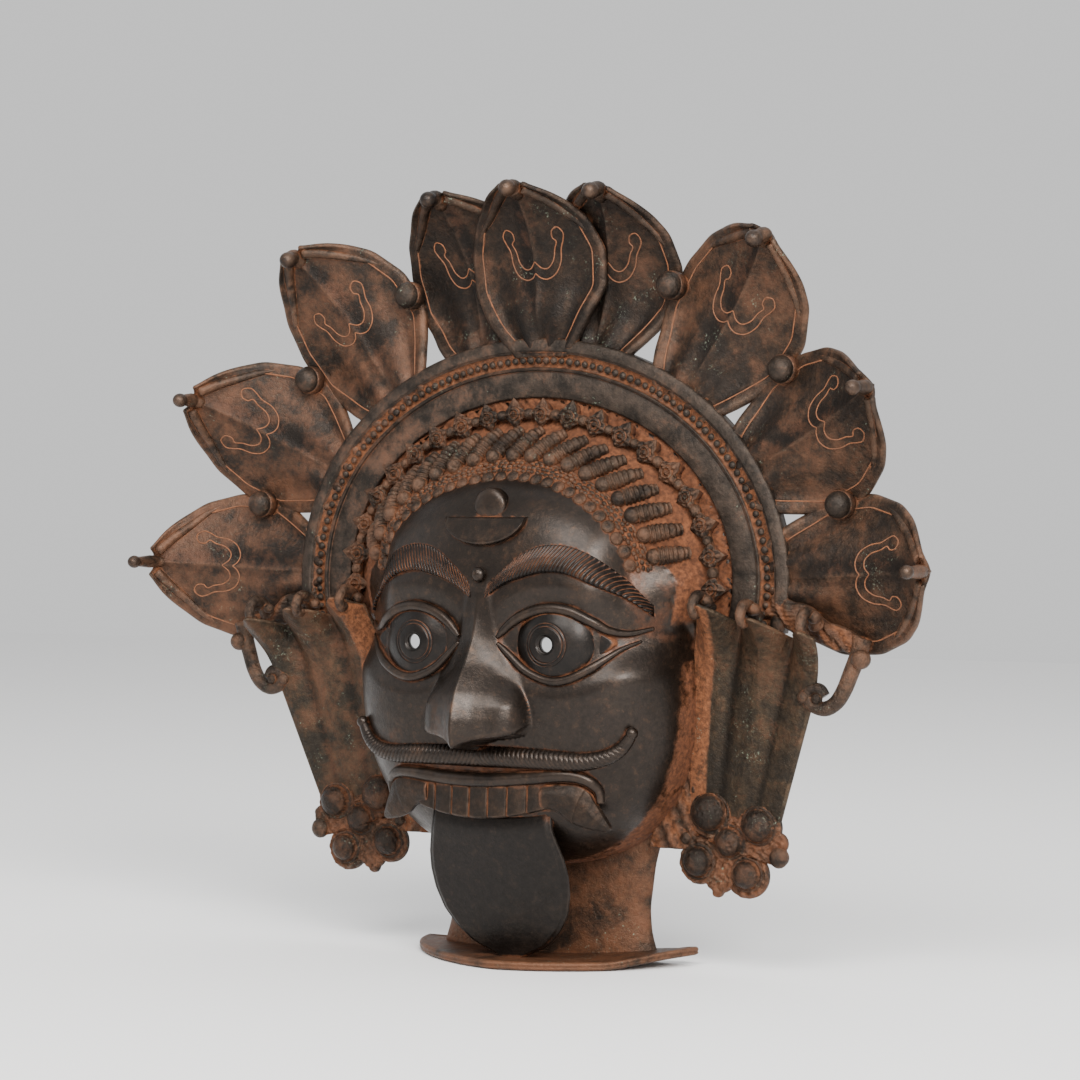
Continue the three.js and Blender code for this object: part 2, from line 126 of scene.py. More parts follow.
# the neck's outline is heights, and its half width at each of them
neckTube = {"foot": 2, "frontTop": 50, "sideTop": 84, "back": 17, "deep": 14, "wall": 4,
            "outline": ([2, 14, 26, 48, 76], [60, 56, 55, 58, 66])}


def mix(a, b, t):
    return a + (b - a) * t


def ramp(x, low, high):
    t = np.clip((x - low) / (high - low), 0, 1)
    return t * t * (3 - 2 * t)


def softSteps(x, stops, values, blur):  # values read from stops, with the corners rounded over blur
    reach = np.linspace(-blur, blur, 9)
    weights = np.cos(reach / blur * pi / 2 * 0.95)
    total = sum(w * np.interp(x + d, stops, values) for d, w in zip(reach, weights))
    return total / weights.sum()


def onEllipse(radii, angle):
    a, b = radii
    return a * b / np.hypot(b * np.cos(angle), a * np.sin(angle))


def faceNorm(x, z):
    reach = np.where(z > face["middleZ"], face["up"], face["down"])
    return (np.abs(x / face["halfWidth"]) ** 2.5 + np.abs((z - face["middleZ"]) / reach) ** 2.5) ** 0.4


def skinY(x, z):
    out = np.minimum(faceNorm(x, z), 1)
    depth = face["depth"] - face["chinSink"] * np.maximum(0, face["middleZ"] - z) / face["down"]
    temple = ramp(np.abs(x), 50, 82) * ramp(z, 138, 165) * (1 - ramp(z, 185, 215))
    socket = 1 - ramp(np.hypot((np.abs(x) - 40) / 36, (z - 155) / 25), 0.45, 1.1)
    skin = face["rimY"] - depth * np.sqrt(1 - out ** 5) - face["dome"] * (1 - out ** 2)
    return np.minimum(skin + face["templeSink"] * temple + face["socketSink"] * socket, face["rimY"])


# the angle about the crown, how far out the hair starts there, and the share of the hair's width passed
def aboutCrown(x, z):
    angle, radius = np.arctan2(z - crown["z"], x), np.hypot(x, z - crown["z"])
    start = onEllipse(crown["hair"], angle)
    return angle, start, (radius - start) / (onEllipse(crown["inner"], angle) - start)


def headY(x, z):
    angle, start, share = aboutCrown(x, z)
    edge = skinY(start * np.cos(angle), crown["z"] + start * np.sin(angle))
    skin = skinY(x, z)
    fall = np.clip(share, 0, 1) + 0.11 * np.sin(pi * np.clip((share - 0.5) / 0.5, 0, 1))
    hair = mix(skin, mix(edge, face["rimY"], fall), ramp(z, 135, 182))
    return np.where(share <= 0, skin, hair)


def onHair(angle, share, lift=0.0):
    radius = mix(onEllipse(crown["hair"], angle), onEllipse(crown["inner"], angle), share)
    x, z = radius * np.cos(angle), crown["z"] + radius * np.sin(angle)
    return np.stack([x, headY(x, z) - lift, z], -1)


def outlineRadius(angle):
    inside, outside = np.zeros_like(angle), np.full_like(angle, 160.0)
    for _ in range(30):
        radius = (inside + outside) / 2
        x, z = radius * np.cos(angle), face["middleZ"] + radius * np.sin(angle)
        rise = (z - crown["z"]) / np.where(z > crown["z"], crown["inner"][1] + 3, 62)
        isIn = (faceNorm(x, z) < 1) | (np.hypot(x / (crown["inner"][0] + 3), rise) < 1)
        inside, outside = np.where(isIn, radius, inside), np.where(isIn, outside, radius)
    return inside


def rimBack(x, z):
    neckY = neckTube["back"] - neckTube["deep"] * np.sqrt(np.maximum(0, 1 - (x / 64) ** 2)) + neckTube["wall"]
    return mix(np.minimum(neckY, neckTube["back"]), 7, ramp(z, 66, 135))


# mesh helpers; a shape is (points, faces, grime)
# grime runs from 0 to 1 at each point for dirt, and below 0 it is painted shade that darkens a fold

def asMesh(name, shape):
    points, faces, grimeAndShade = shape
    faces = [np.asarray(part).reshape(len(part), -1) for part in faces if len(part)]
    counts = np.concatenate([np.full(len(part), part.shape[1]) for part in faces])
    mesh = bpy.data.meshes.new(name)
    mesh.vertices.add(len(points))
    mesh.vertices.foreach_set("co", (np.asarray(points) * 0.001).ravel())
    mesh.loops.add(int(counts.sum()))
    mesh.loops.foreach_set("vertex_index", np.concatenate([part.ravel() for part in faces]))
    mesh.polygons.add(len(counts))
    mesh.polygons.foreach_set("loop_start", np.concatenate([[0], np.cumsum(counts)[:-1]]))
    mesh.polygons.foreach_set("use_smooth", np.ones(len(counts), bool))
    mesh.update(calc_edges=True)
    mesh.attributes.new("grimeAndShade", "FLOAT", "POINT").data.foreach_set("value", grimeAndShade)
    return mesh


def solidShape(points, faces, grimeAndShade=None):  # turns a closed skin's faces outwards
    points = np.asarray(points, float).reshape(-1, 3)
    faces = [np.asarray(part).reshape(len(part), -1) for part in faces if len(part)]
    volume = 0
    for part in faces:
        for k in range(1, part.shape[1] - 1):
            a, b, c = points[part[:, 0]], points[part[:, k]], points[part[:, k + 1]]
            volume += np.einsum("ij,ij->", a, np.cross(b, c))
    if volume < 0:
        faces = [part[:, ::-1] for part in faces]
    full = np.zeros(len(points))
    if grimeAndShade is not None:
        full[:len(grimeAndShade)] = grimeAndShade
    return points, faces, full


def gridFaces(rows, cols, first=0, closed=False):  # quads between rows of points
    wide = cols if closed else cols - 1
    i, j = np.meshgrid(np.arange(rows - 1), np.arange(wide), indexing="ij")
    a, b = i * cols + j, i * cols + (j + 1) % cols
    return first + np.stack([a, b, b + cols, a + cols], -1).reshape(-1, 4)


def border(rows, cols):  # the outer loop of a grid of points
    top = np.arange(cols)
    right = (np.arange(1, rows) + 1) * cols - 1
    bottom = (rows - 1) * cols + np.arange(cols - 2, -1, -1)
    left = np.arange(rows - 2, 0, -1) * cols
    return np.concatenate([top, right, bottom, left])


def closeSheet(front, loops, back, step, grimeAndShade=None):  # a fine front, rim loops and a coarse back as one skin
    (rows, cols), (fewRows, fewCols) = front.shape[:2], back.shape[:2]
    ring = border(rows, cols)
    count, first = len(ring), rows * cols
    faces = [gridFaces(rows, cols)]
    for k in range(len(loops)):
        lower = ring if k == 0 else first + (k - 1) * count + np.arange(count)
        upper = first + k * count + np.arange(count)
        faces.append(np.stack([np.roll(lower, -1), lower, upper, np.roll(upper, -1)], -1))
    last = first + (len(loops) - 1) * count
    start = last + count
    faces.append(gridFaces(fewRows, fewCols, start)[:, ::-1])
    far = start + border(fewRows, fewCols)
    if step == 1:
        lower = last + np.arange(count)
        faces.append(np.stack([np.roll(lower, -1), lower, far, np.roll(far, -1)], -1))
    else:
        k = np.arange(count)
        home, part = k // step, k % step
        after = (home + 1) % len(far)
        target = np.where(part < step // 2, far[home], far[after])
        faces.append(np.stack([last + (k + 1) % count, last + k, target], -1))
        turn = part == step // 2
        faces.append(np.stack([last + k, far[home], far[after]], -1)[turn])
    points = np.concatenate([front.reshape(-1, 3)] + list(loops) + [back.reshape(-1, 3)])
    return solidShape(points, faces, grimeAndShade)


# dirt gives grime at each front point; its values below 0 are painted shade in folds
def sheet(front, back, rows, cols, step=4, bulge=1.0, dirt=None):  # a plate with a rounded edge
    u, v = np.meshgrid(np.linspace(0, 1, rows * step + 1), np.linspace(0, 1, cols * step + 1), indexing="ij")
    near, far = front(u, v), back(u[::step, ::step], v[::step, ::step])
    ring = border(*u.shape)
    nearEdge = near.reshape(-1, 3)[ring]
    farEdge = back(u.ravel()[ring], v.ravel()[ring])
    through = farEdge - nearEdge
    thick = np.linalg.norm(through, axis=1, keepdims=True)
    out = np.cross(np.roll(nearEdge, -1, 0) - np.roll(nearEdge, 1, 0), through)
    out /= np.linalg.norm(out, axis=1, keepdims=True) + 1e-9
    if np.einsum("ij,ij->", out, nearEdge - nearEdge.mean(0)) < 0:
        out = -out
    loops = []
    for turn in (0.2 * pi, 0.4 * pi, 0.6 * pi, 0.8 * pi):
        share = (1 - math.cos(turn)) / 2
        loops.append(nearEdge + through * share + out * thick * 0.5 * bulge * math.sin(turn))
    return closeSheet(near, loops, far, step, None if dirt is None else dirt(u, v).ravel())


def loft(rings, capped=True, ring=False):  # rings of points with the same count, closed at the ends
    rings = np.asarray(rings, float)
    if ring:
        rings = np.concatenate([rings, rings[:1]])
    rows, cols = rings.shape[:2]
    points, faces = rings.reshape(-1, 3), [gridFaces(rows, cols, closed=True)]
    if ring:
        faces = [faces[0] % ((rows - 1) * cols)]
        return solidShape(points[:(rows - 1) * cols], faces)
    if capped:
        for at, row, flip in ((len(points), 0, True), (len(points) + 1, rows - 1, False)):
            a = row * cols + np.arange(cols)
            b = np.roll(a, -1)
            faces.append(np.stack([np.full(cols, at), b, a] if flip else [np.full(cols, at), a, b], -1))
        points = np.concatenate([points, rings[0].mean(0)[None], rings[-1].mean(0)[None]])
    return solidShape(points, faces)


def joined(parts):  # several shells as one shape
    faces, first = [], 0
    for points, partFaces, _ in parts:
        faces += [f + first for f in partFaces]
        first += len(points)
    return np.concatenate([p[0] for p in parts]), faces, np.concatenate([p[2] for p in parts])


def flipped(shape):  # the same shape on the other side of the middle plane
    points, faces, grimeAndShade = shape
    return points * (-1, 1, 1), [f[:, ::-1] for f in faces], grimeAndShade


def bothSides(parts):
    return joined(parts + [flipped(part) for part in parts])


def curveThrough(stops, count):  # a smooth path through points
    stops = np.asarray(stops, float)
    ends = np.concatenate([[2 * stops[0] - stops[1]], stops, [2 * stops[-1] - stops[-2]]])
    t = np.linspace(0, len(stops) - 1, count)
    i = np.minimum(t.astype(int), len(stops) - 2)
    f = (t - i)[:, None]
    a, b, c, d = (ends[i + k] for k in range(4))
    return 0.5 * (2 * b + (c - a) * f + (2 * a - 5 * b + 4 * c - d) * f ** 2
                  + (3 * b - a - 3 * c + d) * f ** 3)


def runLength(path):  # how far along the path each point lies
    return np.concatenate([[0], np.cumsum(np.linalg.norm(np.diff(path, axis=0), axis=1))])


def evenSteps(path, count):  # the same path with its points spread evenly
    run = runLength(path)
    at = np.linspace(0, run[-1], count)
    return np.stack([np.interp(at, run, path[:, k]) for k in range(path.shape[1])], -1)


def tube(path, radius, sides=12, squash=1.0, relief=None):  # a bar along a path; squash flattens it in depth
    path = np.asarray(path, float)
    tangent = np.gradient(path, axis=0)
    tangent /= np.linalg.norm(tangent, axis=1, keepdims=True)
    start = np.array([0, -1.0, 0]) if abs(tangent[0, 1]) < 0.9 else np.array([0, 0, 1.0])
    lifts = []
    for t in tangent:
        start = start - t * np.dot(start, t)
        start /= np.linalg.norm(start)
        lifts.append(start)
    lift = np.array(lifts)
    side = np.cross(tangent, lift)
    turn = np.linspace(0, 2 * pi, sides, endpoint=False)
    wide = np.broadcast_to(np.asarray(radius, float), len(path))[:, None] * np.ones(sides)
    along = np.linspace(0, 1, len(path))[:, None]
    grimeAndShade = np.zeros(wide.shape)
    if relief:
        cut, grimeAndShade = relief(along, turn[None])
        wide = wide * (1 - cut)
    rings = (path[:, None] + side[:, None] * (wide * np.cos(turn))[..., None]
             + lift[:, None] * (wide * squash * np.sin(turn))[..., None])
    points, faces, _ = loft(rings)
    full = np.zeros(len(points))
    full[:grimeAndShade.size] = np.broadcast_to(grimeAndShade, wide.shape).ravel()
    return points, faces, full


def ball(centre, radii, rows=12, cols=20):
    up = np.linspace(0.05, 0.95, rows) * pi
    turn = np.linspace(0, 2 * pi, cols, endpoint=False)
    rings = np.stack([np.sin(up)[:, None] * np.cos(turn), np.broadcast_to(-np.cos(up)[:, None], (rows, cols)),
                      np.sin(up)[:, None] * np.sin(turn)], -1)
    return loft(rings * radii + np.asarray(centre, float))


def lathe(centre, profile, cols=40, grimeAndShade=None):  # rings of (radius, how far forward) about a forward axis
    turn = np.linspace(0, 2 * pi, cols, endpoint=False)
    rings = [np.stack([r * np.cos(turn), np.full(cols, -h), r * np.sin(turn)], -1) for r, h in profile]
    points, faces, full = loft(np.asarray(rings) + np.asarray(centre, float))
    if grimeAndShade is not None:
        full[:len(profile) * cols] = np.repeat(grimeAndShade, cols)
    return points, faces, full


# geometry nodes: bars that follow drawn lines, and shapes set out on points

def startTree(name, inputs):
    tree = bpy.data.node_groups.new(name, "GeometryNodeTree")
    tree.interface.new_socket("Geometry", in_out="OUTPUT", socket_type="NodeSocketGeometry")
    for label, kind in [("Geometry", "Geometry")] + inputs:
        tree.interface.new_socket(label, in_out="INPUT", socket_type="NodeSocket" + kind)
    return tree, tree.nodes.new("NodeGroupInput").outputs


def addNode(tree, kind, links=(), **settings):
    made = tree.nodes.new(kind)
    for key, value in settings.items():
        setattr(made, key, value)
    for key, value in dict(links).items():
        if isinstance(value, bpy.types.NodeSocket):
            tree.links.new(value, made.inputs[key])
        else:
            made.inputs[key].default_value = value
    return made


def readAttribute(tree, name, kind):
    return addNode(tree, "GeometryNodeInputNamedAttribute", {"Name": name},
                   data_type=kind).outputs["Attribute"]


def endTree(tree, geometry, material):
    real = addNode(tree, "GeometryNodeRealizeInstances", {"Geometry": geometry})
    done = addNode(tree, "GeometryNodeSetMaterial", {"Geometry": real.outputs[0], "Material": material})
    tree.links.new(done.outputs[0], tree.nodes.new("NodeGroupOutput").inputs["Geometry"])
    return tree


def makeLineTree():
    tree, given = startTree("drawnLines", [("Sides", "Int"), ("Thickness", "Float"), ("Finish", "Material")])
    curve = addNode(tree, "GeometryNodeMeshToCurve", {"Mesh": given["Geometry"]})
    circle = addNode(tree, "GeometryNodeCurvePrimitiveCircle", {"Resolution": given["Sides"],
                                                                "Radius": given["Thickness"]})
    bars = addNode(tree, "GeometryNodeCurveToMesh", {
        "Curve": curve.outputs[0], "Profile Curve": circle.outputs[0],
        "Scale": readAttribute(tree, "girth", "FLOAT"), "Fill Caps": True})
    soft = addNode(tree, "GeometryNodeSetShadeSmooth", {"Geometry": bars.outputs[0]})
    return endTree(tree, soft.outputs[0], given["Finish"])


def makeScatterTree():
    tree, given = startTree("setOutShapes", [("Shape", "Object"), ("Uneven", "Float"), ("Seed", "Int"),
                                             ("Finish", "Material")])
    shape = addNode(tree, "GeometryNodeObjectInfo", {"Object": given["Shape"]}, transform_space="ORIGINAL")
    turn = addNode(tree, "FunctionNodeAxesToRotation", {
        "Primary Axis": readAttribute(tree, "facing", "FLOAT_VECTOR"),
        "Secondary Axis": readAttribute(tree, "along", "FLOAT_VECTOR")}, primary_axis="Z", secondary_axis="X")
    less = addNode(tree, "ShaderNodeMath", {0: 1.0, 1: given["Uneven"]}, operation="SUBTRACT")
    more = addNode(tree, "ShaderNodeMath", {0: 1.0, 1: given["Uneven"]}, operation="ADD")
    chance = addNode(tree, "FunctionNodeRandomValue", {"Min": less.outputs[0], "Max": more.outputs[0],
                                                       "Seed": given["Seed"]}, data_type="FLOAT")
    # the random value node keeps one set of sockets for each kind of number, so they are found by name
    size = addNode(tree, "ShaderNodeVectorMath", {0: readAttribute(tree, "size", "FLOAT_VECTOR")},
                   operation="SCALE")
    tree.links.new(next(s for s in chance.outputs if s.enabled), size.inputs["Scale"])
    laid = addNode(tree, "GeometryNodeInstanceOnPoints", {
        "Points": given["Geometry"], "Instance": shape.outputs["Geometry"], "Rotation": turn.outputs[0],
        "Scale": size.outputs[0]})
    return endTree(tree, laid.outputs[0], given["Finish"])


lineTree, scatterTree = makeLineTree(), makeScatterTree()


def growPiece(obj, tree, inputs):  # runs a tree on an object and keeps the result as its plain mesh
    modifier = obj.modifiers.new("grow", "NODES")
    modifier.node_group = tree
    for item in tree.interface.items_tree:
        if item.in_out == "INPUT" and item.name in inputs:
            modifier[item.identifier] = inputs[item.name]
    graph = bpy.context.evaluated_depsgraph_get()
    mesh = bpy.data.meshes.new_from_object(obj.evaluated_get(graph), depsgraph=graph)
    obj.modifiers.clear()
    obj.data = mesh


def drawLines(name, paths, girth, finish, sides=6, thickness=1.0):  # paths in mm; girth is a number or a list
    points = np.concatenate(paths)
    edges, first = [], 0
    for path in paths:
        run = np.arange(first, first + len(path) - 1)
        edges.append(np.stack([run, run + 1], -1))
        first += len(path)
    mesh = bpy.data.meshes.new(name)
    mesh.from_pydata(points * 0.001, np.concatenate(edges).tolist(), [])
    girth = np.broadcast_to(girth, len(points)) if np.ndim(girth) == 0 else np.concatenate(girth)
    mesh.attributes.new("girth", "FLOAT", "POINT").data.foreach_set("value", np.asarray(girth, np.float32))
    obj = link(bpy.data.objects.new(name, mesh))
    growPiece(obj, lineTree, {"Sides": sides, "Thickness": thickness * 0.001, "Finish": finish})
    keep(obj, finish)


def setOut(name, template, places, facing, along, finish, size=(1, 1, 1), uneven=0.0, seed=1):
    pattern = link(bpy.data.objects.new(name + "Pattern", asMesh(name + "Pattern", template)))
    mesh = bpy.data.meshes.new(name)
    mesh.from_pydata(np.asarray(places) * 0.001, [], [])
    for key, values in (("facing", facing), ("along", along), ("size", size)):
        values = np.broadcast_to(np.asarray(values, float), (len(places), 3))
        mesh.attributes.new(key, "FLOAT_VECTOR", "POINT").data.foreach_set("vector", values.ravel())
    obj = link(bpy.data.objects.new(name, mesh))
    growPiece(obj, scatterTree, {"Shape": pattern, "Uneven": uneven, "Seed": seed, "Finish": finish})
    bpy.data.objects.remove(pattern)
    keep(obj, finish)


def upright(shape):  # a template drawn facing forward, turned to face up its own Z
    points, faces, grimeAndShade = shape
    return points @ np.array([[1, 0, 0], [0, 0, -1], [0, 1, 0]]), faces, grimeAndShade


# materials

patinaLook = {
    "dark": (0.024, 0.0175, 0.0135), "film": (0.066, 0.037, 0.022), "filmShare": 0.5, "soak": 0.9,
    "dirt": (0.225, 0.082, 0.033), "from": 0.36, "to": 0.70, "spots": 0.55, "leftSpots": 0.0, "loose": 0.5,
    "worn": 0.4, "rough": 0.42, "metal": 0.65, "shine": 0.3, "green": 0.0, "grain": 0.10, "pits": 0.0,
    "gloss": 0.0,
}


def patina(name, **changes):
    look = {**patinaLook, **changes}
    stuff = bpy.data.materials.new(name)
    stuff.use_nodes = True
    tree = stuff.node_tree
    shader = tree.nodes["Principled BSDF"]
    place = addNode(tree, "ShaderNodeTexCoord").outputs["Object"]

    def noise(scale, detail=4.0, roughness=0.55):
        return addNode(tree, "ShaderNodeTexNoise", {"Vector": place, "Scale": scale, "Detail": detail,
                                                    "Roughness": roughness}).outputs["Fac"]

    def between(value, low, high, top=1.0, bottom=0.0):
        return addNode(tree, "ShaderNodeMapRange", {"Value": value, "From Min": low, "From Max": high,
                                                    "To Min": bottom, "To Max": top}).outputs["Result"]

    def maths(kind, a, b=0.0):
        return addNode(tree, "ShaderNodeMath", {0: a, 1: b}, operation=kind).outputs[0]

    def blend(share, a, b):
        made = addNode(tree, "ShaderNodeMix", data_type="RGBA")
        for slot, value in ((0, share), (6, a), (7, b)):
            if isinstance(value, bpy.types.NodeSocket):
                tree.links.new(value, made.inputs[slot])
            else:
                made.inputs[slot].default_value = (*value, 1) if isinstance(value, tuple) else value
        return made.outputs[2]

    grimeAndShade = addNode(tree, "ShaderNodeAttribute", attribute_name="grimeAndShade").outputs["Fac"]
    edge = addNode(tree, "ShaderNodeAttribute", attribute_name="edge").outputs["Fac"]
    cloud, mottle, fine = noise(17, 7, 0.65), noise(85, 8, 0.72), noise(460, 5, 0.65)
    both = maths("ADD", maths("MULTIPLY", cloud, 0.5), maths("MULTIPLY", mottle, 0.5))
    film = between(both, 0.58 - 0.2 * look["filmShare"], 0.72 - 0.2 * look["filmShare"])
    film = maths("MAXIMUM", film, between(grimeAndShade, 0.2, 0.6, look["soak"]))
    colour = blend(film, look["dark"], look["film"])
    colour = blend(between(fine, 0.38, 0.62, 0.7, 0), colour, tuple(0.4 * c for c in look["dark"]))
    colour = blend(between(noise(230, 7, 0.75), 0.54, 0.68, 0.35), colour,
                   tuple(1.9 * c for c in look["film"]))
    rubbed = maths("MULTIPLY", between(edge, 0.3, 0.9, look["worn"]), between(mottle, 0.38, 0.6))
    colour = blend(rubbed, colour, tuple(2.1 * c + 0.012 for c in look["film"]))
    # painted shade in the folds: values below 0 darken the colour towards black
    colour = blend(between(grimeAndShade, 0.0, -1.0, 0.85), colour, tuple(0.3 * c for c in look["dark"]))
    threshold, drift = look["spots"], both
    if look["leftSpots"]:
        across = addNode(tree, "ShaderNodeSeparateXYZ", {"Vector": place}).outputs["X"]
        drift = maths("ADD", both, between(across, 0.06, -0.16, look["leftSpots"]))
    loose = between(maths("ADD", drift, maths("MULTIPLY", fine, 0.16)), threshold + 0.06, threshold + 0.2)
    colour = blend(maths("MULTIPLY", loose, look["loose"]), colour, tuple(0.55 * c for c in look["dirt"]))
    patchy = maths("MULTIPLY", grimeAndShade, between(mottle, 0.3, 0.7, 1.5, 0.5))
    hollow = between(patchy, look["from"], look["to"])
    dirtTone = blend(between(fine, 0.35, 0.65), look["dirt"], tuple(0.3 * c for c in look["dirt"]))
    dirtTone = blend(between(mottle, 0.45, 0.62, 0.6), dirtTone, tuple(0.32 * c for c in look["dirt"]))
    colour = blend(hollow, colour, dirtTone)
    dirt = maths("MAXIMUM", hollow, maths("MULTIPLY", loose, 0.6))
    if look["green"]:
        flecks = noise(760, 4, 0.8)
        speck = maths("MULTIPLY", between(flecks, 0.585, 0.65, 0.8),
                      between(noise(48, 6, 0.75), 0.60 - 0.1 * look["green"], 0.68 - 0.1 * look["green"]))
        colour = blend(speck, colour, (0.20, 0.235, 0.17))
        dirt = maths("MAXIMUM", dirt, speck)
    tree.links.new(colour, shader.inputs["Base Color"])
    tree.links.new(between(dirt, 0, 1, 0.05, look["metal"]), shader.inputs["Metallic"])
    base = between(maths("ADD", maths("MULTIPLY", mottle, 0.6), maths("MULTIPLY", fine, 0.4)), 0.36, 0.64,
                   look["rough"] + 0.14, look["rough"] - 0.08)
    tree.links.new(maths("MAXIMUM", base, maths("MULTIPLY", dirt, 0.88)), shader.inputs["Roughness"])
    shader.inputs["Specular IOR Level"].default_value = look["shine"]
    if look["gloss"]:
        tree.links.new(between(dirt, 0, 0.5, 0, look["gloss"]), shader.inputs["Coat Weight"])
    shader.inputs["Coat Roughness"].default_value = 0.28
    height = maths("ADD", maths("MULTIPLY", fine, 0.6), maths("MULTIPLY", noise(1300, 3, 0.6), 0.25))
    height = maths("ADD", height, maths("MULTIPLY", mottle, 0.8))
    if look["pits"]:
        holes = addNode(tree, "ShaderNodeTexVoronoi", {"Vector": place, "Scale": 300.0, "Randomness": 1.0})
        pit = maths("MULTIPLY", between(holes.outputs["Distance"], 0.05, 0.4, 0.0, 1.0),
                    between(noise(45, 3, 0.6), 0.45, 0.6, look["pits"]))
        height = maths("SUBTRACT", height, pit)
    bump = addNode(tree, "ShaderNodeBump",
                   {"Height": height, "Distance": look["grain"] * 0.006, "Strength": 1.0})
    tree.links.new(bump.outputs[0], shader.inputs["Normal"])
    return stuff


faceMetal = patina("rubbedFaceMetal", dark=(0.0215, 0.0148, 0.0108), film=(0.056, 0.032, 0.019), rough=0.32,
                   metal=0.8, filmShare=0.25, soak=0.3, worn=0.12, grain=0.05, spots=0.60, gloss=0.22,
                   dirt=(0.165, 0.058, 0.0235))
hoodMetal = patina("brownHoodMetal", filmShare=0.75, spots=0.51, leftSpots=0.05, rough=0.42, green=0.4,
                   grain=0.13)
eyeMetal = patina("darkEyeMetal", dark=(0.0105, 0.0078, 0.0062), film=(0.032, 0.02, 0.014), filmShare=0.25,
                  soak=0.5, rough=0.34, metal=0.8, worn=0.1, grain=0.05, spots=0.62, gloss=0.2)
topMetal = patina("darkTopHoods", dark=(0.015, 0.0112, 0.0088), film=(0.038, 0.0225, 0.014), filmShare=0.75,
                  spots=0.54, loose=0.4, rough=0.44, green=0.5, grain=0.13)
toothMetal = patina("brownToothMetal", dark=(0.02, 0.0145, 0.011), film=(0.046, 0.027, 0.017), filmShare=0.7,
                    spots=0.56, rough=0.45, grain=0.08)
headMetal = patina("darkHoodHeads", dark=(0.02, 0.016, 0.014), filmShare=0.3, spots=0.62, rough=0.36,
                   grain=0.08)
haloMetal = patina("greyHaloMetal", filmShare=0.45, rough=0.46, dark=(0.0185, 0.0145, 0.0115), spots=0.55,
                   green=0.3, film=(0.042, 0.028, 0.0195), leftSpots=0.03, grain=0.12)
hairMetal = patina("crustedHairMetal", filmShare=0.5, rough=0.46, spots=0.50, green=0.45, grain=0.22,
                   pits=0.5)
flapMetal = patina("oliveFlapMetal", dark=(0.026, 0.020, 0.0145), film=(0.058, 0.037, 0.021), filmShare=0.8,
                   rough=0.46, spots=0.52, leftSpots=0.05, green=0.6, grain=0.18)
neckMetal = patina("rustyNeckMetal", film=(0.092, 0.047, 0.026), filmShare=1.0, spots=0.45, loose=0.65,
                   rough=0.48, green=0.3, grain=0.14)
tongueMetal = patina("blackTongueMetal", dark=(0.0125, 0.0095, 0.0078), film=(0.028, 0.019, 0.0135),
                     filmShare=0.3, rough=0.38, spots=0.66, worn=0.2, grain=0.06, gloss=0.1)
rust = patina("orangeDirt", dark=(0.24, 0.088, 0.036), film=(0.07, 0.034, 0.019), filmShare=0.5, metal=0.1,
              rough=0.7)
print("materials are made")

pieces = []


def keep(obj, finish):
    obj.data.materials.clear()
    obj.data.materials.append(finish)
    pieces.append(obj)
    return obj


def addPiece(name, shape, finish):
    return keep(link(bpy.data.objects.new(name, asMesh(name, shape))), finish)


# head and nose

noseShape = {"z": [104.5, 107, 113, 119, 125, 131, 137, 144, 156, 166, 178],
             "width": [25, 27, 27.6, 27.4, 27, 25, 21.2, 15.8, 9.6, 7.4, 5],
             "crest": [-74.4, -76.2, -77.2, -76.9, -75.3, -72.8, -68.9, -63.6, -56.6, -52.8, -50.2],
             "side": -49.5,
             "under": ([0, 2, 4, 8, 12, 18, 22, 25, 27, 28.5],
                       [104.9, 106.8, 107.9, 109.1, 109.9, 110.6, 111.3, 112.6, 114.6, 118.5]),
             "flank": ([0, 0.25, 0.5, 0.7, 0.85, 0.94, 1, 1.08],
                       [0, 0.23, 0.38, 0.47, 0.58, 0.72, 0.92, 1.25])}


def noseY(x, z):
    a = np.abs(x)
    width = softSteps(z, noseShape["z"], noseShape["width"], 3.0)
    crest = softSteps(z, noseShape["z"], noseShape["crest"], 2.0)
    share = a / width
    wing = softSteps(share, *noseShape["flank"], 0.08)
    y = mix(crest, noseShape["side"], mix(share, wing, ramp(z, 140, 124)))
    y = y + np.maximum(share - 1, 0) * mix(10, 40, ramp(z, 134, 112))
    bottom = np.interp(a, *noseShape["under"])
    y = np.where(z < bottom + 1.2, y + 1.2 * np.maximum(0, bottom + 1.2 - z) ** 1.5, y)
    y = np.where(z < bottom, y + (bottom - z) * 30, y)
    return np.where(z > 178, y + (z - 178) * 0.8, y)


def softMin(a, b, blend):
    t = np.clip(0.5 + 0.5 * (b - a) / blend, 0, 1)
    return mix(b, a, t) - blend * t * (1 - t)


def faceY(x, z):
    return softMin(headY(x, z), noseY(x, z), mix(1.0, 7.0, ramp(z, 128, 148)))


def discGrid(count):  # a square grid drawn round, as angle and share of the way out
    s, t = np.meshgrid(np.linspace(-1, 1, count), np.linspace(-1, 1, count), indexing="ij")
    wide = np.abs(s) > np.abs(t)
    big = np.where(wide, s, t)
    other = np.where(wide, t, s)
    turn = pi / 4 * other / np.where(big == 0, 1, big)
    return np.where(wide, turn, pi / 2 - turn) + np.where(big < 0, pi, 0), np.abs(big)


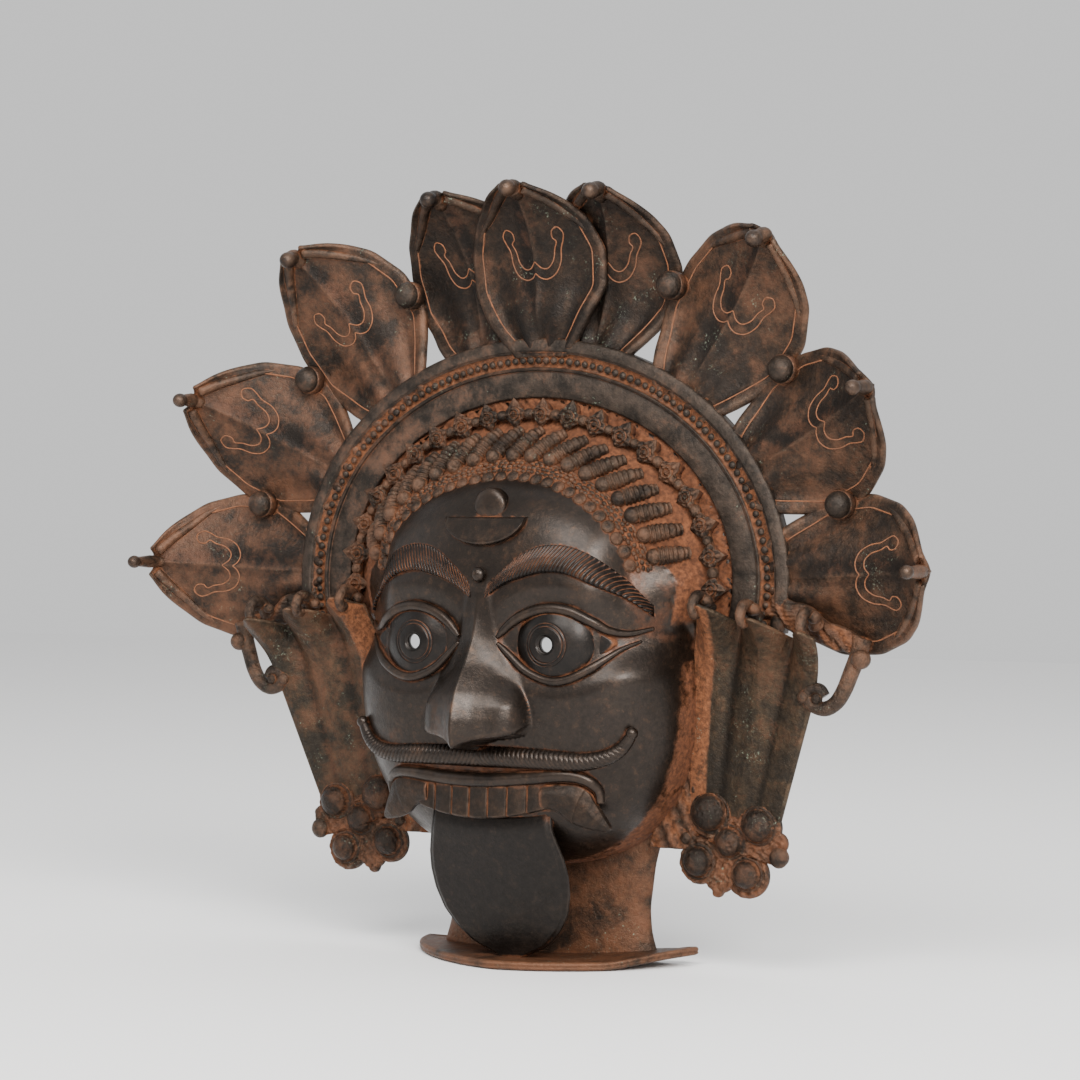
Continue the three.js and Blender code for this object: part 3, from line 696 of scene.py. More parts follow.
def headShell(cells=224, step=4):
    angle, share = discGrid(cells + 1)
    reach = outlineRadius(angle)
    radius = share * reach
    x, z = radius * np.cos(angle), face["middleZ"] + radius * np.sin(angle)
    front = np.stack([x, faceY(x, z), z], -1)
    start = 0.42 * ramp(z, 205, 182)
    scalp = ramp(aboutCrown(x, z)[2], start, start + 0.06) * ramp(z, 156, 170)
    crease = np.abs(headY(x, z) - noseY(x, z)) < 0.9
    grimeAndShade = np.maximum(scalp, crease * ramp(z, 145, 125) * ramp(z, 110, 116) * 0.7)
    grimeAndShade = np.maximum(grimeAndShade, 0.3 * ramp(np.abs(x), 60, 80) * ramp(z, 150, 120))
    grimeAndShade = np.maximum(grimeAndShade, 0.7 * ramp(share, 0.96, 0.99) * ramp(z, 165, 140))
    grimeAndShade = np.maximum(grimeAndShade, 0.42 * ramp(np.abs(x), 60, 69) * ramp(z, 146, 158) * (1 - scalp))
    front[..., 1] += (0.8 * scalp * np.sin(x * 0.9 + 3 * np.sin(z * 0.35))
                      * np.sin(z * 0.8 + 2 * np.sin(x * 0.3)))
    front[..., 1] += (0.45 * scalp * np.sin(x * 2.1 + 2 * np.sin(z * 0.9))
                      * np.sin(z * 1.9 + 3 * np.sin(x * 0.7)))
    few, fewShare, fewReach = angle[::step, ::step], share[::step, ::step], reach[::step, ::step]
    inX, inZ = fewShare * fewReach * np.cos(few), face["middleZ"] + fewShare * fewReach * np.sin(few)
    kept = fewShare * (fewReach - face["wall"])
    inner = np.minimum(faceY(inX, inZ) + face["wall"] * mix(1.0, 1.6, ramp(-headY(inX, inZ), 20, 45)), 2)
    back = np.stack([kept * np.cos(few), inner, face["middleZ"] + kept * np.sin(few)], -1)
    ring = border(cells + 1, cells + 1)
    angle, reach = angle.ravel()[ring], reach.ravel()[ring]
    edgeY = front.reshape(-1, 3)[ring, 1]
    end = rimBack(reach * np.cos(angle), face["middleZ"] + reach * np.sin(angle))
    loops = []
    for inset, along, more in ((0, 0.5, 0), (0, 1, -1), (1, 1, 0), (3, 1, 0), (4, 1, -1)):
        r = reach - inset
        loops.append(np.stack([r * np.cos(angle), mix(edgeY, end, along) + more,
                               face["middleZ"] + r * np.sin(angle)], -1))
    sideGrime = 0.2 + 0.55 * ramp(face["middleZ"] + reach * np.sin(angle), 170, 135)
    return closeSheet(front, loops, back, step,
                      np.concatenate([grimeAndShade.ravel(), np.tile(sideGrime, len(loops))]))


head = addPiece("headShell", headShell(), faceMetal)


def pierce(obj, x, z, radius, depth=60, y=-40):  # a round hole from front to back
    turn = np.linspace(0, 2 * pi, 32, endpoint=False)
    rings = [np.stack([x + radius * np.cos(turn), np.full(32, y + d), z + radius * np.sin(turn)], -1)
             for d in (-depth / 2, depth / 2)]
    drill = link(bpy.data.objects.new("drill", asMesh("drill", loft(rings))))
    cut = obj.modifiers.new("hole", "BOOLEAN")
    cut.operation, cut.object, cut.solver = "DIFFERENCE", drill, "EXACT"
    graph = bpy.context.evaluated_depsgraph_get()
    mesh = bpy.data.meshes.new_from_object(obj.evaluated_get(graph), depsgraph=graph)
    obj.modifiers.clear()
    obj.data = mesh
    bpy.data.objects.remove(drill)


print("head is made")

# eyes

eye = {"pupil": (36, 153.5), "hole": 3.5, "throat": 12, "rings": (8.5, 10.0), "ball": 21.0, "bulge": 8.6,
       "upper": [(10.5, 156.5), (17, 163), (25.5, 167.8), (36, 170.2), (46.5, 168.9), (55.5, 164.5),
                 (62, 160.2), (69, 158.8), (77, 161)],
       "lower": [(10.5, 153.8), (17, 147.8), (23.5, 142.2), (31, 138.4), (39, 136.6), (47, 138),
                 (55.5, 142.3), (62, 147.2), (67.5, 151.8), (73.5, 155.3)],
       "opening": [(12.5, 155), (19, 162), (27, 166.8), (36, 168.3), (46, 167.2), (54.5, 163), (60.5, 158.4),
                   (65, 154.8), (61.5, 150.3), (55, 144.6), (47.5, 139.6), (39.5, 137.4), (31.5, 138.8),
                   (24.2, 142), (17.5, 148)]}

for side in (1, -1):
    pierce(head, side * eye["pupil"][0], eye["pupil"][1], eye["throat"])


def openingReach(direction):  # how far the eye opens from the pupil in each direction
    loop = curveThrough(eye["opening"] + eye["opening"][:1], 300) - eye["pupil"]
    turn, reach = np.arctan2(loop[:, 1], loop[:, 0]), np.hypot(loop[:, 0], loop[:, 1])
    order = np.argsort(turn)
    return np.interp(direction, turn[order], reach[order], period=2 * pi)


def groove(distance, width):  # 1 in the middle of an incised line and 0 beside it
    return np.clip(1 - (distance / width) ** 2, 0, 1)


def eyeBall(rings=60, cols=160):
    px, pz = eye["pupil"]
    direction = np.linspace(0, 2 * pi, cols, endpoint=False)
    reach = openingReach(direction)
    loops, grimeAndShade = [], []
    for share in np.linspace(0, 1, rings):
        r = mix(eye["hole"], reach, share)
        x, z = px + r * np.cos(direction), pz + r * np.sin(direction)
        bulge = eye["bulge"] * np.clip(1 - (r / eye["ball"]) ** 2, 0, 1) ** 0.7
        base = skinY(x, z) * 0.4 + (-41.5 + 0.0034 * (x - 34) ** 2) * 0.6
        cut = sum(groove(r - ringR, 0.5) for ringR in eye["rings"])
        y = (base - bulge + 0.4 * cut + 1.2 * np.clip((share - 0.93) / 0.07, 0, 1) ** 2
             + groove(r - eye["hole"], 1.2))
        corner = ramp(x, 20, 14)
        loops.append(np.stack([x, y, z], -1))
        grimeAndShade.append(np.maximum(np.maximum(cut * 0.5, 0.7 * np.clip((share - 0.9) / 0.08, 0, 1)),
                                0.6 * corner))
    inside = [np.stack([px + r * np.cos(direction), np.full(cols, y), pz + r * np.sin(direction)], -1)
              for r, y in ((11.5, -37), (10, -44), (eye["hole"], loops[0][:, 1].mean() + 3))]
    rim = loops[-1].copy()
    rim[:, 1] += 6
    rings = inside + loops + [rim]
    points, faces, _ = loft(rings, capped=False)
    near, far = np.arange(cols), (len(rings) - 1) * cols + np.arange(cols)
    faces.append(np.stack([np.roll(near, -1), near, far, np.roll(far, -1)], -1))
    return solidShape(points, faces, np.concatenate([np.zeros(3 * cols)] + grimeAndShade))


def lid(name, radius, tail):  # a thick half-round bar that thins at both corners
    line = evenSteps(curveThrough(eye[name], 240), 150)
    t = np.linspace(0, 1, 150)
    path = np.stack([line[:, 0], headY(line[:, 0], line[:, 1]) - 1.3, line[:, 1]], -1)
    return tube(path, radius * np.interp(t, [0, 0.05, 0.18, 0.72, 1], [0.4, 0.75, 1, 1, tail]), 18)


addPiece("eyeballs", bothSides([eyeBall()]), eyeMetal)
addPiece("eyelids", bothSides([lid("upper", 2.5, 0.35), lid("lower", 2.1, 0.3)]), faceMetal)

# brows and forehead marks


def raised(place, lift, rows, cols, under=2.0, step=1, dirt=None):
    def front(u, v):
        x, z = place(u, v)
        return np.stack([x, headY(x, z) - lift(u, v), z], -1)

    def back(u, v):
        x, z = place(u, v)
        return np.stack([x, headY(x, z) + under, z], -1)
    return sheet(front, back, rows, cols, step, bulge=0.0, dirt=dirt)


brow = {"strokes": 40, "lean": 0.09, "height": 3.0, "from": 4, "to": 77, "z": 177, "arch": 20, "fall": 8,
        "halfWidth": (3, 6.4)}


def browPlace(u, v):
    x = mix(brow["from"], brow["to"], u)
    middle = brow["z"] + brow["arch"] * np.sin(pi * u) ** 0.9 - brow["fall"] * u
    half = mix(*brow["halfWidth"], ramp(u, 0, 0.35)) * mix(1, 0.42, ramp(u, 0.68, 1))
    return x, middle + (2 * v - 1) * half


def browStroke(u, v):
    return groove((brow["strokes"] * (u - brow["lean"] * v ** 1.3) + 0.5) % 1 - 0.5, 0.2)


def browLift(u, v):
    body = np.interp(v, [0, 0.05, 0.14, 0.3, 0.6, 1], [0, 0.7, 0.97, 1, 0.78, 0.1])
    fade = ramp(v, 1.0, 0.9) * ramp(v, 0, 0.06)
    return brow["height"] * body * mix(0.55, 1, ramp(u, 0, 0.15)) - 1.4 * browStroke(u, v) * fade + 0.1


addPiece("brows", bothSides([raised(browPlace, browLift, 360, 20,
                                    dirt=lambda u, v: browStroke(u, v) ** 3 * 0.8 * ramp(v, 0.0, 0.3))]),
         eyeMetal)


marks = {"discZ": 217.5, "disc": [(8.6, -2), (8.6, 2), (8.3, 3), (7.4, 3.7), (6, 4.2), (3, 4.6), (1, 4.7)],
         "dotZ": 185.5, "dot": (3.6, 3, 3.6), "crescentTop": 212.4, "halfWidth": 21.5, "deep": 13.3}


def foreheadMarks():
    disc = lathe((0, float(headY(0.0, marks["discZ"])) + 1.5, marks["discZ"]), marks["disc"])
    dot = ball((0, float(headY(0.0, marks["dotZ"])) - 1, marks["dotZ"]), marks["dot"])

    def place(u, v):
        x = mix(-marks["halfWidth"], marks["halfWidth"], u)
        hang = np.sqrt(np.clip(1 - (x / marks["halfWidth"]) ** 2, 0, 1))
        return x, marks["crescentTop"] - marks["deep"] * v * hang - 0.3 * v

    crescent = raised(place,
                      lambda u, v: np.interp(v, [0, 0.05, 0.12, 0.8, 0.94, 1], [0, 1.8, 2.2, 3.6, 3.2, 0.2]),
                      90, 24, 4)
    return joined([disc, dot, crescent])


addPiece("foreheadMarks", foreheadMarks(), faceMetal)

# moustache, mouth and tongue


# the line's points are x, z and how far it stands off the skin
moustacheRope = {"line": [(0, 100.6, -0.5), (20, 100.6, 0), (38, 100.2, 0.6), (52, 99.8, 1), (62, 101.8, 1.6),
                          (69, 106, 2.2), (74, 113, 3.4)],
                 "girth": (2.2, 5.2), "strokes": 34, "endRadius": 2.9}


def moustache():
    stops = np.array(moustacheRope["line"])
    half = np.stack([stops[:, 0], headY(stops[:, 0], stops[:, 1]) - stops[:, 2], stops[:, 1]], -1)
    path = evenSteps(curveThrough(np.concatenate([half[:0:-1] * (-1, 1, 1), half]), 400), 560)
    t = np.linspace(0, 1, 560)

    def strokes(along, turn):
        out = np.abs(2 * along - 1)
        phase = moustacheRope["strokes"] * out + 1.5 * np.sin(turn - 0.4)
        cut = groove((phase + 0.5) % 1 - 0.5, 0.17) * ramp(out, 0.94, 0.9)
        return 0.085 * cut, 0.4 * cut ** 3
    rope = tube(path, mix(*moustacheRope["girth"], np.sin(pi * t) ** 0.6), 30, relief=strokes)
    ends = [ball(path[k] + (0, -0.5, 0.4), (moustacheRope["endRadius"],) * 3) for k in (0, -1)]
    return joined([rope] + ends)


def mouthY(x):
    return -47.6 + 0.0034 * x * x


lip = {"line": [(-55.5, 79), (-56.5, 85), (-53.5, 89.3), (-47, 91.2), (-38, 91.3), (-20, 89.8), (0, 89.5),
                (20, 91), (38, 93), (47, 93), (53.5, 90.6), (56.8, 86), (57.5, 80.5)],
       "girth": ([0, 0.08, 0.25, 0.75, 0.92, 1], [1.8, 2.6, 3.5, 3.5, 2.9, 2.0])}


def upperLip():
    line = evenSteps(curveThrough(lip["line"], 240), 170)
    t = np.linspace(0, 1, 170)
    path = np.stack([line[:, 0], np.minimum(mouthY(line[:, 0]), headY(line[:, 0], line[:, 1])) - 0.4,
                     line[:, 1]], -1)
    return tube(path, np.interp(t, *lip["girth"]), 20, squash=1.05)


toothRow = {"teeth": 7, "left": -36.5, "right": 34.2, "top": 89}


def teethFoot(x):
    return 71.5 + 0.03 * x + 5.2 * (x / 34.5) ** 2


def teeth():
    def front(u, v):
        x = mix(toothRow["left"], toothRow["right"], v)
        part = (v * toothRow["teeth"]) % 1
        gap = groove(np.minimum(part, 1 - part), 0.055)
        y = (mouthY(x) - 0.9 * np.sin(pi * part) ** 0.5 - 0.8 - u + 1.0 * gap
             + 1.6 * np.clip((u - 0.94) / 0.06, 0, 1) ** 2)
        return np.stack([x, y, mix(toothRow["top"], teethFoot(x), u)], -1)

    def back(u, v):
        x = mix(toothRow["left"], toothRow["right"], v)
        return np.stack([x, mouthY(x) + 5, mix(toothRow["top"], teethFoot(x), u)], -1)

    def dirt(u, v):
        part = (v * toothRow["teeth"]) % 1
        return np.maximum(0.75 * groove(np.minimum(part, 1 - part), 0.06), 0.15 + ramp(u, 0.35, 0.1) * 0.3)
    return sheet(front, back, 40, 210, 1, bulge=0.05, dirt=dirt)


fangEdges = {"upper": [(31, 88.5), (40, 89), (48.5, 88.5), (53.5, 85.5), (56, 81), (58.8, 76), (61.8, 70),
                       (61.6, 68.2)],
             "lower": [(31, 77.2), (36.5, 76.8), (40.5, 74.8), (44, 71.8), (50, 69.2), (56, 67.8), (60, 67.4),
                       (61.2, 67.9)]}


def fang(rows=60):
    top, low = (evenSteps(curveThrough(fangEdges[key], 200), rows + 1) for key in ("upper", "lower"))

    def place(u, v):
        row = (u * rows).astype(int)
        return mix(low[row, 0], top[row, 0], v), mix(low[row, 1], top[row, 1], v)

    def front(u, v):
        x, z = place(u, v)
        body = (np.interp(v, [0, 0.1, 0.3, 0.62, 0.72, 1], [0.2, 1.6, 2.6, 3.0, 2.6, 0.3])
                * np.interp(u, [0, 0.8, 1], [1, 0.8, 0.2]))
        return np.stack([x, -45.2 + 9.5 * u ** 1.4 - body, z], -1)

    def back(u, v):
        x, z = place(u, v)
        return np.stack([x, -42.4 + 9.3 * u ** 1.4, z], -1)
    return sheet(front, back, rows, 26, 1, bulge=0.0, dirt=lambda u, v: 0.16 + 0.3 * ramp(u, 0.1, 0.0))


gumPlate = {"halfWidth": 50, "top": 90, "foot": 76, "level": 84}


def gum():
    def place(u, v):
        x = mix(-gumPlate["halfWidth"], gumPlate["halfWidth"], v) * (1 - 0.3 * u)
        return x, mix(gumPlate["top"], gumPlate["foot"], u)

    def front(u, v):
        x, z = place(u, v)
        return np.stack([x, mouthY(x) + mix(3, 7, u), z], -1)

    def back(u, v):
        x, z = place(u, v)
        return np.stack([x, headY(x, gumPlate["level"] + 0 * x) + 1, z], -1)
    return sheet(front, back, 10, 40, 1, bulge=0, dirt=lambda u, v: 0.3 + 0 * u)


tongue = {"halfWidth": 37, "top": 74.5, "tip": 3.6, "sag": 3.6, "thick": 3.2,
          "swell": ([0, 0.1, 0.3, 0.42, 0.55, 0.69, 0.8, 0.91, 1],
                    [0.86, 0.87, 0.975, 1.0, 0.98, 0.9, 0.76, 0.54, 0.14]),
          "forward": ([0, 0.1, 0.45, 1], [-40, -41.5, -33, -20])}


def tongueAt(u, v, back):
    side = 2 * v - 1
    x = tongue["halfWidth"] * softSteps(u, *tongue["swell"], 0.03) * side - 0.4
    z = mix(tongue["top"], tongue["tip"], u) - tongue["sag"] * (1 - side ** 2) * (1 - u) ** 3
    y = softSteps(u, *tongue["forward"], 0.08) + 1.2 * side ** 2 * (1 - u)
    edge = 0.9 * groove(1 - np.abs(side), 0.06)
    return np.stack([x, y + edge * (1 - back) + back * tongue["thick"], z], -1)


addPiece("moustache", moustache(), faceMetal)
addPiece("lip", upperLip(), faceMetal)
addPiece("teeth", teeth(), toothMetal)
addPiece("fangs", bothSides([fang()]), toothMetal)
addPiece("gum", gum(), toothMetal)
addPiece("tongue", sheet(lambda u, v: tongueAt(u, v, 0), lambda u, v: tongueAt(u, v, 1), 30, 26, 4, bulge=0.6,
                         dirt=lambda u, v: (0.3 * ramp(u, 0.16, 0.02) + 0.2 * ramp(v, 0.93, 1)
                                            + 0.22 * ramp(u, 0.7, 0.9))),
         tongueMetal)
print("face parts are made")

# halo

halo = {"start": -0.17, "beads": 94, "beadRadius": 1.85, "beadShare": 0.63}


def haloPoint(angle, share, y):
    radius = mix(onEllipse(crown["inner"], angle), onEllipse(crown["outer"], angle), share)
    return np.stack([radius * np.cos(angle), y + 0 * angle, crown["z"] + radius * np.sin(angle)], -1)


def haloArch():
    profile = [(0, 5), (0, 0.8), (0.012, 0.2), (0.03, 0), (0.2, -0.15), (0.42, 0), (0.445, 0.35),
               (0.455, -0.5), (0.468, -1.3), (0.482, -0.9), (0.492, -1.5), (0.505, -1.2), (0.515, 0),
               (0.53, 0.5), (0.63, 0.6), (0.735, 0.5), (0.75, 0), (0.765, -1.2), (0.778, -0.8), (0.79, -1.7),
               (0.82, -1.9), (0.9, -1.6), (0.97, -1.1), (0.995, -0.5), (1, 0.4), (1, 5)]
    angle = np.linspace(halo["start"], pi - halo["start"], 420)
    rings = np.stack([haloPoint(angle, share, y) for share, y in profile], 1)
    wobble = np.sin(angle * 9) * 0.35 + np.sin(angle * 23 + 1) * 0.2
    rings[..., 1] += wobble[:, None] * 0.5
    points, faces, grimeAndShade = loft(rings)
    dirt = np.array([0, 0.1, 0, 0, 0, 0.1, 0.5, 0.2, 0, 0.45, 0, 0.3, 0.6, 0.62, 0.62, 0.62, 0.6, 0.15, 0.45,
                     0, 0, 0, 0, 0.05, 0.1, 0])
    grimeAndShade[:len(angle) * len(profile)] = np.tile(dirt, len(angle))
    return points, faces, grimeAndShade


def beadTemplate(radius, flat=1.0, rows=6, cols=12):  # a small dome with grime about its foot
    up = np.linspace(0, 0.46 * pi, rows)
    profile = [(radius, -0.6 * radius)] + [(radius * math.cos(a), radius * flat * math.sin(a)) for a in up]
    grimeAndShade = [1.0, 0.9, 0.45] + [0.0] * (len(profile) - 3)
    return upright(lathe((0, 0, 0), profile, cols, grimeAndShade))


addPiece("haloArch", haloArch(), haloMetal)
arc = np.linspace(halo["start"] + 0.02, pi - halo["start"] - 0.02, 800)
beadSpots = evenSteps(haloPoint(arc, halo["beadShare"], 0.1), halo["beads"])
setOut("haloBeads", beadTemplate(halo["beadRadius"], 1.05), beadSpots, (0, -1, 0), (1, 0, 0), haloMetal,
       uneven=0.1, seed=3)
print("halo is made")

# hoods

hood = {"halfWidth": 36, "thick": 3, "ridge": 4.6, "bend": 70, "edgeLine": 4.4, "lineWidth": 0.34}
# root x, z, y; tip x, y, z; how far the leaf stands forward;
# its head's length, girth and droop; bulge; how far up the mark sits
hoodPlaces = [
    (3.5, 290, -0.4, 2, -22.5, 368.6, 7, 6.5, 4.1, 1.0, 0.05, 0.585),
    (30, 286, 1.7, 45, -17, 366, -2, 7.5, 4.1, 1.5, 0.3, 0.61),
    (76, 264, 0.8, 130, -14, 341, 0, 8, 4.1, 2.5, 0.5, 0.59),
    (108, 230, 0.8, 185.3, -23, 270.5, 0, 13, 3.5, 1.0, 1, 0.66),
    (122, 184, 0.8, 211.4, -20, 189, 0, 18, 3.2, 0, 1, 0.66)]
hoodOutline = ([0, 0.17, 0.4, 0.62, 0.8, 0.9, 0.96, 1], [0.4, 0.68, 0.98, 1.0, 0.85, 0.63, 0.42, 0.16])


def hoodFrame(place):
    rootX, rootZ, rootY, tipX, tipY, tipZ = place[:6]
    along = np.array([tipX - rootX, 0, tipZ - rootZ], float)
    length = np.hypot(along[0], along[2])
    along /= length
    return along, np.array([along[2], 0, -along[0]]), length


def hoodHalf(u):
    return hood["halfWidth"] * softSteps(u, *hoodOutline, 0.04) - 1.2


def hoodSurface(place, u, side, back=0.0):
    rootX, rootZ, rootY, tipX, tipY, tipZ, forward = place[:7]
    bulge = place[10]
    along, across, length = hoodFrame(place)
    half = hoodHalf(u)
    mid = np.abs(side)
    crease = hood["ridge"] * np.exp(-mid * 4.6) * ramp(u, 0.05, 0.35) * (1 - 0.3 * u) * (1 - back)
    pleats = 1.4 * np.cos(side * 9.5) * ramp(u, 0.8, 0.15) * ramp(u, 0.0, 0.05) * (1 - back)
    rimDip = -0.5 * ramp((1 - mid) * half, 5.2, 4.4) * (1 - back)
    fallBack = half ** 2 / (2 * hood["bend"]) * (1 - bulge * (1 - side ** 2)) - forward
    fold = -5.0 * ramp(u, 0.86, 1.0) * mid ** 2
    y = (mix(rootY, tipY + forward, u ** 3) - crease + pleats + rimDip + fallBack * ramp(u, 0.05, 0.3) + fold
         + back * hood["thick"])
    point = np.array([rootX, 0, rootZ]) + along * (u * length)[..., None] + across * (side * half)[..., None]
    point[..., 1] += y
    return point


def hoodFoldShade(u, v):  # painted shade: dark folds beside the ridge, heavier on one flank of it, and between the pleats
    side = 2 * v - 1
    ridge = (0.9 * groove(side + 0.13, 0.17) * ramp(u, 0.1, 0.35)
             + 0.35 * groove(side - 0.1, 0.06) * ramp(u, 0.1, 0.35))
    pleat = ((0.8 * groove(np.abs(side) - 0.36, 0.13) + 0.6 * groove(np.abs(side) - 0.68, 0.1))
             * ramp(u, 0.62, 0.1))
    return -np.clip(ridge + pleat, 0, 1)


def leaf(place):
    return sheet(lambda u, v: hoodSurface(place, u, 2 * v - 1),
                 lambda u, v: hoodSurface(place, u, 2 * v - 1, 1.0), 24, 18, 4, dirt=hoodFoldShade)


def hoodHead(place):  # the leaf narrows to a neck that points forward and ends in a dark blunt head
    tip, long, girth, droop = np.array(place[3:6], float), place[7], place[8], place[9]
    along = hoodFrame(place)[0]
    stops = [tip - along * 5 + (0, 4.5, 0), tip - along * 2.5 + (0, 1.5, 0), tip - along * 0.5 + (0, -2, 0),
             tip + (0, -2.5 - 0.5 * long, 0) - along * 0.5 * droop, tip + (0, -1.0 - long, 0) - along * droop]
    path = evenSteps(curveThrough(stops, 60), 40)
    t = np.linspace(0, 1, 40)
    neck = tube(path, girth * np.interp(t, [0, 0.2, 0.5, 0.8, 1], [0.5, 0.9, 1.0, 0.8, 0.8]), 16)
    folds = []
    for side in (-1, 1):
        line = hoodSurface(place, np.linspace(0.7, 0.985, 30), np.linspace(0.97, 0.6, 30) * side)
        line[:, 1] += np.linspace(1.2, -0.2, 30)
        folds.append(tube(line, np.interp(np.linspace(0, 1, 30), [0, 0.4, 1], [0.6, 1.9, 2.7]), 12))
    head = ball(path[-1] - along * 0.3, (girth, girth * 1.15, girth))
    return joined([neck] + folds), head


def hoodLines(place):
    along, across, length = hoodFrame(place)
    paths = []
    u = np.linspace(0.02, 0.90, 70)
    for side in (-1, 1):
        paths.append(hoodSurface(place, u, side * (hoodHalf(u) - hood["edgeLine"]) / hoodHalf(u)))
    mark = curveThrough([(0, -8), (2.5, -10.3), (6.5, -11), (11.3, -8.3), (14.3, -2.5), (15.2, 4),
                         (17.2, 8.5), (18, 12), (15.5, 15), (12, 13.5), (11.4, 10), (13.2, 7.8), (11.6, 4),
                         (10.2, -1.5), (7, -5.3), (3.2, -5.2), (0, -2)], 110)
    for side in (-1, 1):
        s, a = mark[:, 0] * side * 0.92, mark[:, 1] * 0.92
        u = place[11] + a / length
        paths.append(hoodSurface(place, u, s / hoodHalf(u)))
    for path in paths:
        path[:, 1] -= 0.02
    return paths


hoodPaths, hoodHeads = [], []
for index, place in enumerate(hoodPlaces):
    cape, knob = hoodHead(place)
    shells = [leaf(place), cape]
    addPiece("hood%d" % index, joined(shells) if index == 0 else bothSides(shells),
             topMetal if index < 2 else hoodMetal)
    hoodHeads += [knob] if index == 0 else [knob, flipped(knob)]
    lines = hoodLines(place)
    hoodPaths += lines
    if index:
        hoodPaths += [line * (-1, 1, 1) for line in lines]
addPiece("hoodHeads", joined(hoodHeads), headMetal)
drawLines("hoodLines", hoodPaths, 1.0, rust, thickness=hood["lineWidth"])

# each boss's x, y, z and radius
bossPlaces = [(73, 1, 321, 6.3), (131.6, 0, 280.5, 6.3), (160.5, 0.5, 218.4, 6.2)]
bossShapes = [lathe((x, y, z), [(r + 0.5, -4), (r + 0.6, 0.8), (r + 0.3, 1.4), (r, 1.6)]
                    + [(r * math.cos(a), 1.6 + 6 * math.sin(a)) for a in np.linspace(0.1, 1.45, 9)],
                    grimeAndShade=[0.3, 0.5, 0.5, 0.4] + [0] * 9) for x, y, z, r in bossPlaces]
addPiece("bosses", bothSides(bossShapes), haloMetal)
print("hoods are made")

# hair and garland

hair = {"beads": 26, "beadRadius": 3.2, "tileGroups": 23, "tileRows": (0.088, 0.135, 0.18), "tileStep": 2.95,
        "tileRadius": 1.62, "ridge": 0.21, "locks": 19, "lockSpan": (0.28, 0.60), "lean": 0.13, "ribs": 8,
        "flowers": 20, "garland": (99, 79.7)}


def hairNormal(angle, share):  # the scalp's outward direction and its run along the crown
    eps = 0.01
    a = onHair(angle + eps, share) - onHair(angle - eps, share)
    b = onHair(angle, share + eps) - onHair(angle, share - eps)
    out = np.cross(a, b)
    out /= np.linalg.norm(out, axis=-1, keepdims=True)
    out = np.where(out[..., 1:2] > 0, -out, out)
    return out, a / np.linalg.norm(a, axis=-1, keepdims=True)


def evenAngles(share, start, count, skip=0.0):  # angles for equal steps along the crown
    angle = np.linspace(start, pi - start, 900)
    run = runLength(onHair(angle, share)[:, [0, 2]])
    return np.interp(np.linspace(run[-1] * skip, run[-1] * (1 - skip), count), run, angle)


angles = evenAngles(0.01, 0.12, hair["beads"])
out, run = hairNormal(angles, 0.02)
setOut("hairBeads", beadTemplate(hair["beadRadius"], 0.62, 7, 20), onHair(angles, 0.01, 0.0) + out * 0.2,
       out, run, hairMetal, uneven=0.05, seed=5)

rng = np.random.default_rng(11)
pebbleSpots, pebbleOut, pebbleRun, pebbleSize = [], [], [], []
for group in evenAngles(0.12, 0.1, hair["tileGroups"], 0.01):
    radius = float(onEllipse(crown["hair"], group)) + 5
    for row, share in enumerate(hair["tileRows"]):
        for k in (-1, 0, 1):
            angle = np.array(group + (k * hair["tileStep"] + (0.7 if row == 1 else 0)) / radius)
            o, a = hairNormal(angle, share)
            pebbleSpots.append(onHair(angle, share + rng.uniform(-0.006, 0.006), 0.0))
            pebbleOut.append(o)
            pebbleRun.append(a)
            pebbleSize.append((1.0, 0.72, 1.0) * rng.uniform(0.8, 1.1, 3))
setOut("hairPebbles", beadTemplate(hair["tileRadius"], 0.8, 4, 8), pebbleSpots, pebbleOut, pebbleRun,
       hairMetal, pebbleSize)

ridgeAngles = np.linspace(0.08, pi - 0.08, 300)
ridge = onHair(ridgeAngles, hair["ridge"], 0.35)
drawLines("hairRidge", [ridge], 1.0, hairMetal, thickness=0.75, sides=8)

lockPaths, lockGirth, heads, headOut, headRun = [], [], [], [], []
for angle in evenAngles(0.27, 0.16, hair["locks"]):
    lean = hair["lean"] * (math.sin(angle) ** 2 + max(0, -math.cos(angle)))
    t = np.linspace(0, 1, 110)
    path = onHair(angle - lean * t, mix(*hair["lockSpan"], t), 0.5 + 0.6 * np.sin(pi * t))
    lockPaths.append(path)
    ribs = 1 + 0.08 * np.cos(t * 2 * pi * hair["ribs"])
    lockGirth.append(ribs * np.interp(t, [0, 0.12, 0.35, 0.8, 0.9, 0.96, 1],
                                      [3.5, 4.2, 4.2, 3.4, 2.8, 3.2, 1.6]))
    o, a = hairNormal(np.array(angle), 0.265)
    heads.append(onHair(np.array(angle), 0.268, 0.9))
    headOut.append(o)
    headRun.append(a)
drawLines("hairLocks", lockPaths, lockGirth, hairMetal, sides=14)
setOut("lockHeads", upright(ball((0, -0.8, 0), (3.9, 3.9, 3.9), 9, 16)), heads, headOut, headRun, hairMetal,
       uneven=0.05, seed=8)


